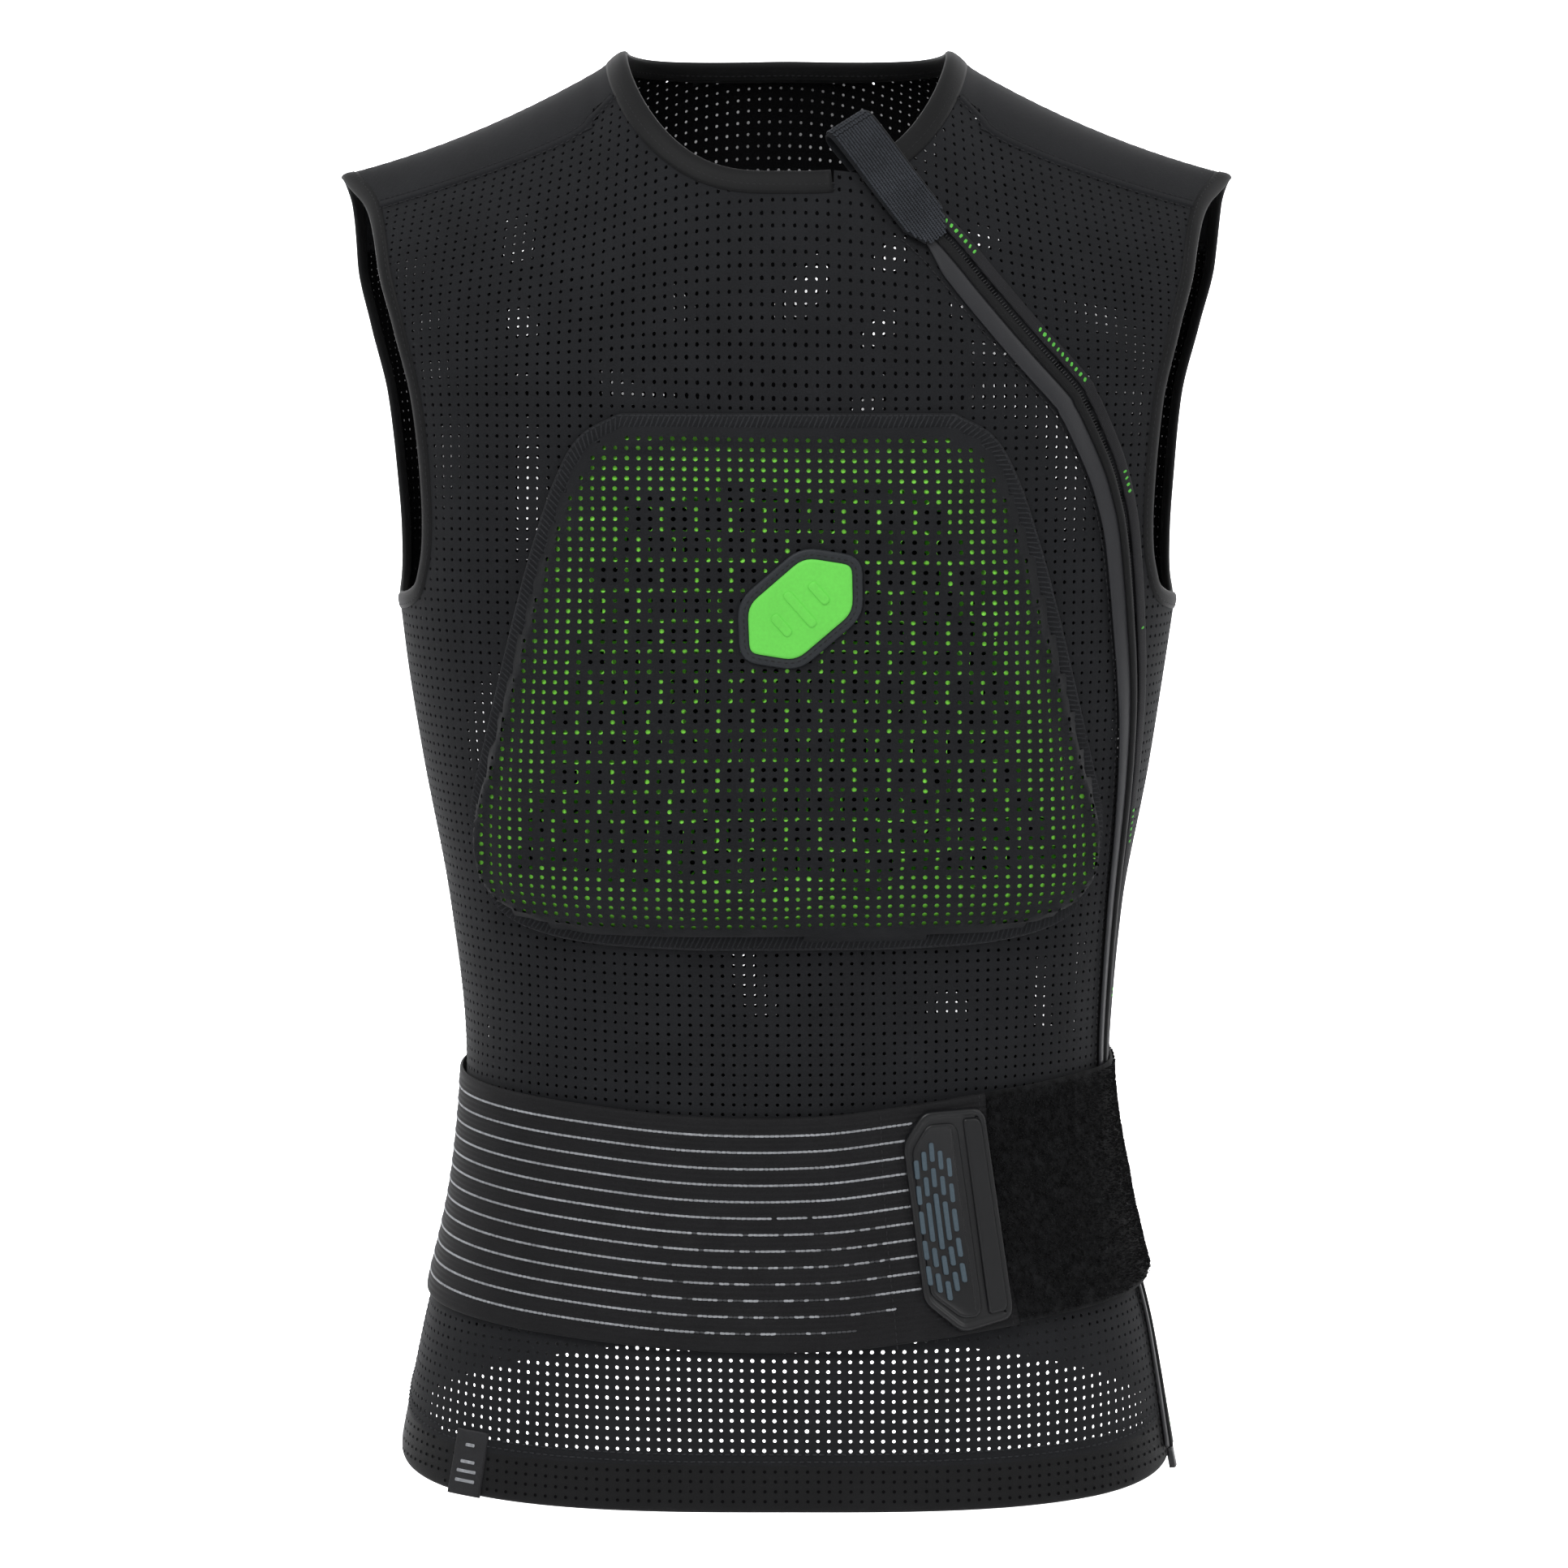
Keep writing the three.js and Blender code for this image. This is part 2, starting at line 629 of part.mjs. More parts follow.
// A line moved sideways by a real distance, to the left of its direction
function beside(line, distance, closed = false) {
  const count = line.length
  return line.map((point, k) => {
    const ahead = closed ? line[(k + 1) % count] : line[Math.min(k + 1, count - 1)]
    const behind = closed ? line[(k + count - 1) % count] : line[Math.max(k - 1, 0)]
    const stretch = stretchAt(point.x, point.y)
    const way = ahead.clone().sub(behind).multiply(stretch).normalize()
    return flatPoint(
      point.x - (way.y * distance) / stretch.x,
      point.y + (way.x * distance) / stretch.y,
    )
  })
}
const strip = (line, from, to) => [...beside(line, from), ...beside(line, to).reverse()]
const smooth = (points, steps) => new THREE.SplineCurve(points).getPoints(steps)

// Zip line, from the collar to the hem
const ZIP_STEPS = 16
const zipAround = (v) => along(ZIP_PLACES, 'drop', 'place', -v)
const zipLine = smooth(
  ZIP_PLACES.map((row) => flatPoint(row.place, -row.drop)),
  ZIP_STEPS,
)

// Neck opening, grown by a real distance
const NECK_SIDES = 24
function neckOutline(grow) {
  const points = []
  for (let k = 0; k < NECK_SIDES; k += 1) {
    const angle = (2 * Math.PI * k) / NECK_SIDES
    const back = Math.sin(angle) > 0
    const power = 2 / (back ? NECK_BACK_SQUARENESS : NECK_FRONT_SQUARENESS)
    const reach = (cosine) => Math.sign(cosine) * Math.abs(cosine) ** power
    const depth = back ? NECK_BACK_DEPTH : NECK_FRONT_DEPTH
    points.push(flatPoint(
      NECK_PATTERN_HALF_WIDTH * reach(Math.cos(angle)),
      depth * reach(Math.sin(angle)),
    ))
  }
  return beside(points, -grow, true)
}

// Armhole seam in the flat pattern, from the front underarm over the ridge to the back underarm
const ARMHOLE_STEPS = 10
function armholeLine(side) {
  const row = (end) => ({ reach, drop }) => {
    const edge = reach === 1 && drop > 0 ? QUARTER_GIRTH : reach * ARMHOLE_REACH
    return flatPoint(side * edge, end * drop * ARMHOLE_RUN)
  }
  const front = smooth(ARMHOLE_FRONT.map(row(-1)), ARMHOLE_STEPS)
  const back = smooth(ARMHOLE_BACK.map(row(1)), ARMHOLE_STEPS)
  return [...front.reverse(), ...back.slice(1)]
}
const FAR = 400
function armholeRegion(side, grow) {
  const line = beside(armholeLine(side), side * grow)
  const first = line[0]
  const last = line[line.length - 1]
  return [
    ...line,
    flatPoint(side * (QUARTER_GIRTH + FAR), last.y),
    flatPoint(side * (QUARTER_GIRTH + FAR), first.y),
  ]
}

// Yoke seams: the front one dips towards the neck, and the back one slants down from it
function yokeRegion(side, shrink) {
  const inner = NECK_PATTERN_HALF_WIDTH * YOKE_INNER_SHARE + shrink
  const front = -YOKE_FRONT_RUN + shrink
  const back = YOKE_BACK_RUN - shrink
  return [
    flatPoint(side * inner, front + YOKE_NECK_DIP),
    flatPoint(side * NECK_PATTERN_HALF_WIDTH, front + YOKE_NECK_DIP),
    flatPoint(side * (NECK_PATTERN_HALF_WIDTH + YOKE_NECK_DIP), front),
    flatPoint(side * QUARTER_GIRTH, front),
    flatPoint(side * QUARTER_GIRTH, back),
    flatPoint(side * (YOKE_BACK_TURN + shrink), back),
    flatPoint(side * inner, YOKE_NECK_BACK_RUN - shrink),
  ]
}

// Hem line in the flat pattern, moved up by a distance
const HEM_STEP = QUARTER_GIRTH / 7
function hemHeight(a, up) {
  const turn = Math.abs(a / QUARTER_GIRTH) % 4
  const around = turn > 2 ? 4 - turn : turn
  return -SHEET_RUN + BACK_HEM_RISE * along(HEM_EDGE, 'around', 'rise', around) + up
}
function hemLine(from, to, up) {
  const points = []
  const steps = Math.ceil((to - from) / HEM_STEP)
  for (let k = 0; k <= steps; k += 1) {
    const a = from + ((to - from) * k) / steps
    points.push(flatPoint(a, hemHeight(a, up)))
  }
  return points
}
const HEM_TOP = HEM_BAND_HEIGHT + SEAM_GAP

// Front panel: from the wearer's right side seam to the zip
const SIDE_SEAM = QUARTER_GIRTH - SEAM_GAP / 2
const zipLeft = beside(zipLine, -(ZIP_GAP_HALF + SEAM_GAP))
const zipRight = beside(zipLine, ZIP_GAP_HALF + SEAM_GAP)
const neckSeam = neckOutline(SEAM_GAP)
const cutLeftOfZip = (line) => [
  ...line,
  flatPoint(-QUARTER_GIRTH - FAR, -SHEET_RUN - FAR),
  flatPoint(-QUARTER_GIRTH - FAR, FAR),
  flatPoint(line[0].x, FAR),
]
const cutRightOfZip = (line) => [
  ...line,
  flatPoint(QUARTER_GIRTH + FAR, -SHEET_RUN - FAR),
  flatPoint(QUARTER_GIRTH + FAR, FAR),
  flatPoint(line[0].x, FAR),
]
const panelCuts = [
  neckSeam,
  armholeRegion(1, SEAM_GAP),
  armholeRegion(-1, SEAM_GAP),
  yokeRegion(1, -SEAM_GAP),
  yokeRegion(-1, -SEAM_GAP),
]
const frontSheet = [
  ...hemLine(-SIDE_SEAM, SIDE_SEAM, HEM_TOP),
  flatPoint(SIDE_SEAM, 0),
  flatPoint(-SIDE_SEAM, 0),
]
const backHem = hemLine(2 * QUARTER_GIRTH - SIDE_SEAM, 2 * QUARTER_GIRTH + SIDE_SEAM, HEM_TOP)
  .map((point) => flatPoint(2 * QUARTER_GIRTH - point.x, -point.y))

wrap('front_panel', 'knit', frontSheet, {
  inner: 0,
  outer: CLOTH,
  less: [...panelCuts, cutRightOfZip(zipLeft)],
})
wrap('zip_side_panel', 'knit', frontSheet, {
  inner: 0,
  outer: CLOTH,
  less: [...panelCuts, cutLeftOfZip(zipRight)],
})
wrap('back_panel', 'knit', [flatPoint(-SIDE_SEAM, 0), flatPoint(SIDE_SEAM, 0), ...backHem], {
  inner: 0,
  outer: CLOTH,
  less: panelCuts,
})

// Shoulder yokes
for (const [name, side] of [['shoulder_yoke_left', 1], ['shoulder_yoke_right', -1]]) {
  wrap(name, 'yoke', yokeRegion(side, 0), {
    inner: 0,
    outer: CLOTH,
    less: [neckSeam, armholeRegion(side, SEAM_GAP)],
  })
}

// Bindings, folded over the edges of the neck and the armholes
const bindingInner = -BINDING_SINK
const bindingOuter = BINDING_THICKNESS - BINDING_SINK
const NOTCH_LEAN = 6
const NOTCH_TOP_SHARE = 0.3
const notchTop = flatPoint(zipLine[0].x - NOTCH_LEAN, -NECK_FRONT_DEPTH * NOTCH_TOP_SHARE)
const zipNotch = strip([notchTop, zipLine[0], zipLine[1]], -ZIP_GAP_HALF, ZIP_GAP_HALF)
wrap('collar_binding', 'binding', neckOutline(0), {
  inner: bindingInner,
  outer: bindingOuter,
  less: [neckOutline(-COLLAR_BINDING_WIDTH), zipNotch],
})
for (const [name, side] of [['armhole_binding_left', 1], ['armhole_binding_right', -1]]) {
  const line = armholeLine(side)
  const underarm = [
    flatPoint(side * SIDE_SEAM, -FAR),
    flatPoint(side * (QUARTER_GIRTH + FAR), -FAR),
    flatPoint(side * (QUARTER_GIRTH + FAR), FAR),
    flatPoint(side * SIDE_SEAM, FAR),
  ]
  wrap(name, 'binding', strip(line, 0, -side * ARM_BINDING_WIDTH), {
    inner: bindingInner,
    outer: bindingOuter,
    less: [underarm],
  })
}

// Hem band: the turned-up hem, open at the zip
const zipAtHem = zipAround(-SHEET_RUN)
const zipAtBand = zipAround(HEM_BAND_HEIGHT - SHEET_RUN)
const bandOpening = ZIP_GAP_HALF + SEAM_GAP
const bandLine = (zipPlace, up) => hemLine(
  zipPlace + bandOpening,
  zipPlace - bandOpening + 4 * QUARTER_GIRTH,
  up,
)
wrap('hem_band', 'binding', [
  ...bandLine(zipAtHem, 0),
  ...bandLine(zipAtBand, HEM_BAND_HEIGHT).reverse(),
], { inner: CLOTH - HEM_BAND_THICKNESS, outer: CLOTH })

// Zip: two tapes over the panel edges, the coil between them and the guard beside
const onPanels = CLOTH + LAYER_GAP
const tapeStart = ZIP_COIL_WIDTH / 2 + SEAM_GAP
const belowHem = [
  ...hemLine(-QUARTER_GIRTH, QUARTER_GIRTH, 0),
  flatPoint(QUARTER_GIRTH, -SHEET_RUN - FAR),
  flatPoint(-QUARTER_GIRTH, -SHEET_RUN - FAR),
]
const zipEnds = [neckSeam, belowHem]
const zipTape = { inner: onPanels, outer: onPanels + ZIP_TAPE_THICKNESS, less: zipEnds }
wrap('zip_tape_inner', 'zip', strip(zipLine, -tapeStart, -tapeStart - ZIP_TAPE_WIDTH), zipTape)
wrap('zip_tape_outer', 'zip', strip(zipLine, tapeStart, tapeStart + ZIP_TAPE_WIDTH), zipTape)
wrap('zip_coil', 'zip', strip(zipLine, -ZIP_COIL_WIDTH / 2, ZIP_COIL_WIDTH / 2), {
  inner: onPanels - ZIP_COIL_THICKNESS / 2,
  outer: onPanels + ZIP_COIL_THICKNESS / 2,
  less: zipEnds,
})
const guardStart = -tapeStart - ZIP_TAPE_WIDTH - SEAM_GAP
wrap('zip_guard', 'guard', strip(zipLine, guardStart, guardStart - ZIP_GUARD_WIDTH), {
  inner: onPanels,
  outer: onPanels + CLOTH,
  less: zipEnds,
})

// Garage: a tab folded over the collar and the top of the zip
const onGuard = onPanels + CLOTH + LAYER_GAP
const GARAGE_LINE = [
  { around: 0.11, down: 0.83 },
  { around: 0.175, down: 0.955 },
  { around: 0.245, down: 1.07 },
]
const GARAGE_STEPS = 6
const garageLine = smooth(
  GARAGE_LINE.map((row) => flatPoint(row.around * QUARTER_GIRTH, -row.down * NECK_FRONT_DEPTH)),
  GARAGE_STEPS,
)
wrap('zip_garage', 'garage', strip(garageLine, -GARAGE_WIDTH / 2, GARAGE_WIDTH / 2), {
  inner: onGuard,
  outer: onGuard + GARAGE_THICKNESS,
})

// End box of the zip, over the hem band
const overZip = onPanels + ZIP_COIL_THICKNESS / 2 + LAYER_GAP
const endLine = [
  flatPoint(zipAtHem, hemHeight(zipAtHem, ZIP_END_HEIGHT)),
  flatPoint(zipAtHem, hemHeight(zipAtHem, 0)),
]
wrap('zip_end_box', 'zip', strip(endLine, -ZIP_END_WIDTH / 2, ZIP_END_WIDTH / 2), {
  inner: overZip,
  outer: overZip + ZIP_END_THICKNESS,
})

// Chest pocket over its pad: both rise from the pocket's outline
const POCKET_STEPS = 9
const zipAtPocket = zipAround(-POCKET_TOP_DROP - POCKET_WIDEST_SHARE * POCKET_HEIGHT)
const pocketHalfWidth = zipAtPocket + guardStart - ZIP_GUARD_WIDTH - POCKET_ZIP_GAP
  - POCKET_SEAM_WIDTH / 2
const pocketHalf = smooth(
  POCKET_OUTLINE.map((row) => flatPoint(row.half * pocketHalfWidth, -row.down * POCKET_HEIGHT)),
  POCKET_STEPS,
)
const pocketLine = [
  ...pocketHalf,
  ...pocketHalf.map((point) => flatPoint(-point.x, point.y)).reverse(),
].map((point) => flatPoint(point.x, point.y - POCKET_TOP_DROP))
function inset(outline, distance) {
  const count = outline.length
  return outline.map((point, k) => {
    const ahead = outline[(k + 1) % count]
    const behind = outline[(k + count - 1) % count]
    const way = ahead.clone().sub(behind).normalize()
    return flatPoint(point.x + way.y * distance, point.y - way.x * distance)
  })
}
function distanceInside(outline, a, v) {
  let nearest = Infinity
  let inside = false
  outline.forEach((from, k) => {
    const to = outline[(k + 1) % outline.length]
    const run = to.clone().sub(from)
    const share = ((a - from.x) * run.x + (v - from.y) * run.y) / run.lengthSq()
    const t = Math.min(Math.max(share, 0), 1)
    nearest = Math.min(nearest, Math.hypot(a - from.x - t * run.x, v - from.y - t * run.y))
    const crosses = (from.y > v) !== (to.y > v)
    if (crosses && a < from.x + (run.x * (v - from.y)) / run.y) inside = !inside
  })
  return inside ? nearest : 0
}
const pocketEdge = inset(pocketLine, POCKET_SEAM_WIDTH / 2 + SEAM_GAP)
function padRise(a, v) {
  const down = Math.min(Math.max((-v - POCKET_TOP_DROP) / POCKET_HEIGHT, 0), 1)
  const full = PAD_TOP_RISE + (PAD_BOTTOM_RISE - PAD_TOP_RISE) * down
  const ease = Math.min(distanceInside(pocketEdge, a, v) / PAD_EASE, 1)
  return full * Math.sqrt(1 - (1 - ease) ** 2)
}
const pocketInner = (a, v) => onPanels + padRise(a, v)
const pocketOuter = (a, v) => pocketInner(a, v) + CLOTH
const POCKET_FINE = 2
wrap('chest_pocket', 'knit', pocketEdge, { inner: pocketInner, outer: pocketOuter, fine: POCKET_FINE })
wrap('chest_pad', 'foam', inset(pocketLine, PAD_INSET), {
  inner: onPanels,
  outer: (a, v) => pocketInner(a, v) - PAD_CLEARANCE,
  fine: POCKET_FINE,
})
wrap('pocket_seam', 'knit', inset(pocketLine, -POCKET_SEAM_WIDTH / 2), {
  inner: onPanels,
  outer: onPanels + CLOTH + POCKET_SEAM_THICKNESS,
  less: [inset(pocketLine, POCKET_SEAM_WIDTH / 2)],
})

// Badge: a plain long hexagon with round corners, tilted on the pocket
const BADGE_CORNER = 7
const BADGE_SHOULDER = 0.52
const BADGE_CORNER_STEPS = 2
function badgeOutline(shrink) {
  const long = BADGE_LENGTH / 2 - shrink
  const wide = BADGE_WIDTH / 2 - shrink
  const tips = [
    [long, 0], [long * BADGE_SHOULDER, wide], [-long * BADGE_SHOULDER, wide],
    [-long, 0], [-long * BADGE_SHOULDER, -wide], [long * BADGE_SHOULDER, -wide],
  ].map(([x, y]) => flatPoint(x, y))
  const points = tips.flatMap((tip, k) => {
    const ahead = tips[(k + 1) % tips.length].clone().sub(tip).setLength(BADGE_CORNER)
    const behind = tips[(k + tips.length - 1) % tips.length].clone().sub(tip).setLength(BADGE_CORNER)
    const curve = new THREE.QuadraticBezierCurve(tip.clone().add(behind), tip, tip.clone().add(ahead))
    return curve.getPoints(BADGE_CORNER_STEPS)
  })
  const middle = flatPoint(BADGE_OFFSET, -BADGE_DROP)
  return points.map((point) => point.rotateAround(flatPoint(0, 0), BADGE_TILT).add(middle))
}
const badgeInner = (a, v) => pocketOuter(a, v) + LAYER_GAP
const badgeMiddle = (a, v) => badgeInner(a, v) + BADGE_RIM_THICKNESS
wrap('badge_rim', 'badgeRim', badgeOutline(0), { inner: badgeInner, outer: badgeMiddle, fine: POCKET_FINE })
wrap('badge_face', 'badgeFace', badgeOutline(BADGE_RIM), {
  inner: (a, v) => badgeMiddle(a, v) + LAYER_GAP,
  outer: (a, v) => badgeMiddle(a, v) + LAYER_GAP + BADGE_FACE_THICKNESS,
  fine: POCKET_FINE,
})

// Belt: an elastic front lapped over a loop panel, and a plain back. An end is a place round
// the body with its lean over the belt's height.
const BELT_STEPS = 9
function beltLine(from, to, rise) {
  const points = []
  for (let k = 0; k <= BELT_STEPS; k += 1) {
    const share = k / BELT_STEPS
    const a = from[0] + (to[0] - from[0]) * share
    const lean = (from[1] + (to[1] - from[1]) * share) * (rise / BELT_HEIGHT)
    const edge = BELT_HEIGHT * along(BELT_EDGE, 'around', 'rise', a / QUARTER_GIRTH)
    points.push(flatPoint(a + lean, edge - beltTopDrop - rise))
  }
  return points
}
const beltOutline = (from, to) => [
  ...beltLine(from, to, 0),
  ...beltLine(from, to, BELT_HEIGHT).reverse(),
]
const lapShare = (a) => Math.min(Math.max((a - LAP_START) / LAP_RUN, 0), 1)
const beltInner = onGuard
const lapRise = BELT_THICKNESS + LAYER_GAP
const elasticInner = (a) => beltInner + lapRise * lapShare(a)
const beltBackStart = LOOP_PANEL_END + SEAM_GAP
const beltBackEnd = ELASTIC_START + 4 * QUARTER_GIRTH - SEAM_GAP
wrap('belt_elastic', 'elastic', beltOutline([ELASTIC_START, 0], [ELASTIC_END, ELASTIC_LEAN]), {
  inner: elasticInner,
  outer: (a) => elasticInner(a) + BELT_THICKNESS,
})
wrap('belt_loop_panel', 'loop', beltOutline([LOOP_PANEL_START, 0], [LOOP_PANEL_END, 0]), {
  inner: beltInner,
  outer: beltInner + BELT_THICKNESS,
})
wrap('belt_back', 'elastic', beltOutline([beltBackStart, 0], [beltBackEnd, 0]), {
  inner: beltInner,
  outer: beltInner + BELT_THICKNESS,
})

// Pull patch: a moulded plate with columns of raised bars
const gripInner = beltInner + lapRise + BELT_THICKNESS + LAYER_GAP
const gripOuter = gripInner + GRIP_THICKNESS
const gripStretch = stretchAt(GRIP_OFFSET, -gripDrop)
const gripPlace = (x, y) => flatPoint(x / gripStretch.x, y / gripStretch.y)
  .rotateAround(flatPoint(0, 0), GRIP_LEAN)
  .add(flatPoint(GRIP_OFFSET, -gripDrop))
const GRIP_OUTLINE = [
  { across: -0.18, up: 0.5 },
  { across: 0.42, up: 0.5 },
  { across: 0.5, up: 0.46 },
  { across: 0.5, up: -0.46 },
  { across: 0.42, up: -0.5 },
  { across: -0.05, up: -0.5 },
  { across: -0.5, up: -0.3 },
  { across: -0.5, up: 0.3 },
]
wrap(
  'belt_grip',
  'grip',
  GRIP_OUTLINE.map((row) => gripPlace(row.across * GRIP_WIDTH, row.up * GRIP_HEIGHT)),
  { inner: gripInner, outer: gripOuter },
)
let barNumber = 0
GRIP_COLUMNS.forEach((column, c) => {
  const across = GRIP_FIELD_OFFSET + (c - (GRIP_COLUMNS.length - 1) / 2) * GRIP_COLUMN_PITCH
  const longLength = column.long * GRIP_HEIGHT
  const shortLengths = (BARS_PER_COLUMN - 1) * (GRIP_BAR_LENGTH + GRIP_BAR_GAP)
  let top = (shortLengths + longLength) / 2
  for (let b = 0; b < BARS_PER_COLUMN; b += 1) {
    const length = b === LONG_BAR ? longLength : GRIP_BAR_LENGTH
    const half = GRIP_BAR_WIDTH / 2
    barNumber += 1
    const outline = [
      [0, top], [half, top - half], [half, top - length + half],
      [0, top - length], [-half, top - length + half], [-half, top - half],
    ].map(([x, y]) => gripPlace(across + x, y))
    wrap(`grip_bar_${String(barNumber).padStart(2, '0')}`, 'bar', outline, {
      inner: gripOuter + LAYER_GAP,
      outer: gripOuter + LAYER_GAP + GRIP_BAR_THICKNESS,
    })
    top -= length + GRIP_BAR_GAP
  }
})

// Hem label, on the front of the hem
const labelBottom = hemHeight(LABEL_OFFSET, 0)
wrap('hem_label', 'label', [
  flatPoint(LABEL_OFFSET - LABEL_WIDTH / 2, labelBottom),
  flatPoint(LABEL_OFFSET + LABEL_WIDTH / 2, labelBottom),
  flatPoint(LABEL_OFFSET + LABEL_WIDTH / 2, labelBottom + LABEL_HEIGHT),
  flatPoint(LABEL_OFFSET - LABEL_WIDTH / 2, labelBottom + LABEL_HEIGHT),
], { inner: onPanels, outer: onPanels + LABEL_THICKNESS })

export default vest
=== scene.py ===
import math
import bpy
import numpy as np
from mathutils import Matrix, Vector


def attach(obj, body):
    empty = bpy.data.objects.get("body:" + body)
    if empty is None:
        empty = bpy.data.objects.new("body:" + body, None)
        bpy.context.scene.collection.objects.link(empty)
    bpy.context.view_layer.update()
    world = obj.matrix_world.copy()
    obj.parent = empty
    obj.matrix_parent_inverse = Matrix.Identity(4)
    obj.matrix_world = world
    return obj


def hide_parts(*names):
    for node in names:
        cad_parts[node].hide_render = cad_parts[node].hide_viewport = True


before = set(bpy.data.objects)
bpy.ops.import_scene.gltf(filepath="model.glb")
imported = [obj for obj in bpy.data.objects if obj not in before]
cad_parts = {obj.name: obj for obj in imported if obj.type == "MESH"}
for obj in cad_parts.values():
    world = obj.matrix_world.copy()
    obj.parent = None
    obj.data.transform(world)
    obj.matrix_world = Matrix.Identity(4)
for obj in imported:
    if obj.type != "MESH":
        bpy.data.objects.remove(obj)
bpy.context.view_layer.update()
rng = np.random.default_rng(7)
scene = bpy.context.scene

# Camera
cam = bpy.data.objects.new("camera", bpy.data.cameras.new("camera"))
scene.collection.objects.link(cam)
cam.data.sensor_width = 36
cam.data.lens = 104.5
cam.data.clip_end = 50
cam.location = (-0.0012, -2.1859, -0.0889)
cam.rotation_euler = (math.radians(83.5), 0, 0)
scene.camera = cam


def node(tree, kind, inputs=None, **settings):
    """A shader node with the values of its inputs and its own settings."""
    made = tree.nodes.new("ShaderNode" + kind)
    for key, value in (inputs or {}).items():
        made.inputs[key].default_value = value
    for key, value in settings.items():
        setattr(made, key, value)
    return made


def material(name, color, rough=0.8, spread=0.25, scale=900, bump=0.15, coarse=60, sheen=0.0, spec=0.3,
             wave=None):
    """A finish of one colour, varied by fine and coarse noise that gives its relief too."""
    m = bpy.data.materials.new(name)
    m.use_nodes = True
    tree = m.node_tree
    join = tree.links.new
    shader = tree.nodes["Principled BSDF"]
    for key, value in (("Roughness", rough), ("Specular IOR Level", spec), ("Sheen Weight", sheen),
                       ("Sheen Roughness", 0.5)):
        shader.inputs[key].default_value = value
    place = node(tree, "TexCoord")
    fine = node(tree, "TexNoise", {"Scale": scale, "Detail": 3})
    wide = node(tree, "TexNoise", {"Scale": coarse, "Detail": 2})
    for noise in (fine, wide):
        join(place.outputs["Object"], noise.inputs["Vector"])
    mixed = node(tree, "Math", {1: 0.6}, operation="MULTIPLY_ADD")
    join(fine.outputs["Fac"], mixed.inputs[0])
    part = node(tree, "Math", {1: 0.4}, operation="MULTIPLY")
    join(wide.outputs["Fac"], part.inputs[0])
    join(part.outputs[0], mixed.inputs[2])
    ramp = node(tree, "ValToRGB")
    for stop, at, share in zip(ramp.color_ramp.elements, (0.3, 0.7), (1 - spread, 1 + spread)):
        stop.position = at
        stop.color = (*[min(c * share, 1) for c in color], 1)
    join(mixed.outputs[0], ramp.inputs["Fac"])
    join(ramp.outputs["Color"], shader.inputs["Base Color"])
    relief = mixed.outputs[0]
    if wave:
        direction, bands = wave
        strip = node(tree, "TexWave", {"Scale": bands, "Distortion": 0.6}, bands_direction=direction)
        join(place.outputs["Object"], strip.inputs["Vector"])
        both = node(tree, "Math", operation="ADD")
        join(strip.outputs["Fac"], both.inputs[0])
        join(mixed.outputs[0], both.inputs[1])
        relief = both.outputs[0]
    knob = node(tree, "Bump", {"Strength": bump, "Distance": 0.0004})
    join(relief, knob.inputs["Height"])
    join(knob.outputs["Normal"], shader.inputs["Normal"])
    return m


KNIT = material("knit", (0.0122, 0.0128, 0.0145), 0.8, 0.25, 1400, 0.35, 50, sheen=0.05, spec=0.14)
# Painted shade: the black knit made about three times darker, for the shaded floors of the pad's cells and the
# dents of the hem's pressed dots
SHADED_KNIT = material("knit_painted_shade", (0.004, 0.004, 0.0045), 0.95, 0.2, 1200, 0.3, spec=0.05)
YOKE = material("yoke", (0.0098, 0.0103, 0.0122), 0.75, 0.25, 1300, 0.4, 45, sheen=0.05, spec=0.16)
BINDING = material("binding", (0.0065, 0.0067, 0.0073), 0.6, 0.25, 1500, 0.35, sheen=0.03, spec=0.18)
GUARD = material("guard", (0.022, 0.0225, 0.0255), 0.42, 0.12, 1800, 0.12, spec=0.36)
TAPE = material("zip_tape", (0.012, 0.012, 0.014), 0.7, 0.3, 1600, 0.4, wave=("DIAGONAL", 700))
TOOTH = material("zip_tooth", (0.014, 0.014, 0.016), 0.4, 0.2, 900, 0.1, spec=0.5)
GARAGE = material("garage", (0.012, 0.013, 0.015), 0.9, 0.4, 900, 0.5, sheen=0.05, spec=0.1)
GARAGE_KNIT = material("garage_knit", (0.040, 0.044, 0.052), 0.85, 0.45, 900, 0.4, sheen=0.1, spec=0.15)
FOAM = material("foam", (0.27, 0.97, 0.085), 0.6, 0.12, 500, 0.2)
SEAM = material("seam_thread", (0.026, 0.027, 0.030), 0.7, 0.35, 1500, 0.3, spec=0.15)
THREAD = material("thread", (0.016, 0.016, 0.018), 0.6, 0.3, 1500, 0.3, spec=0.25)
RIM = material("badge_rim", (0.022, 0.025, 0.029), 0.55, 0.18, 900, 0.3)
FACE = material("badge_face", (0.16, 0.70, 0.095), 0.5, 0.06, 700, 0.15, spec=0.2)
ELASTIC = material("elastic", (0.0105, 0.0105, 0.0115), 0.7, 0.3, 1300, 0.4, sheen=0.03, spec=0.16)
SILVER = material("stripe", (0.30, 0.31, 0.33), 0.45, 0.45, 420, 0.3, 35, spec=0.4)
SILVER_WORN = material("stripe_worn", (0.055, 0.057, 0.062), 0.5, 0.45, 420, 0.3, 35, spec=0.3)
LOOP = material("loop", (0.0075, 0.0077, 0.0083), 0.9, 0.85, 330, 0.8, 150, sheen=0.03, spec=0.12)
GRIP = material("grip", (0.007, 0.0073, 0.0083), 0.36, 0.15, 700, 0.1, spec=0.42)
BAR = material("bar", (0.062, 0.092, 0.115), 0.5, 0.12, 700, 0.1, spec=0.4)
LABEL = material("label", (0.014, 0.014, 0.016), 0.55, 0.3, 1600, 0.4, wave=("X", 900))
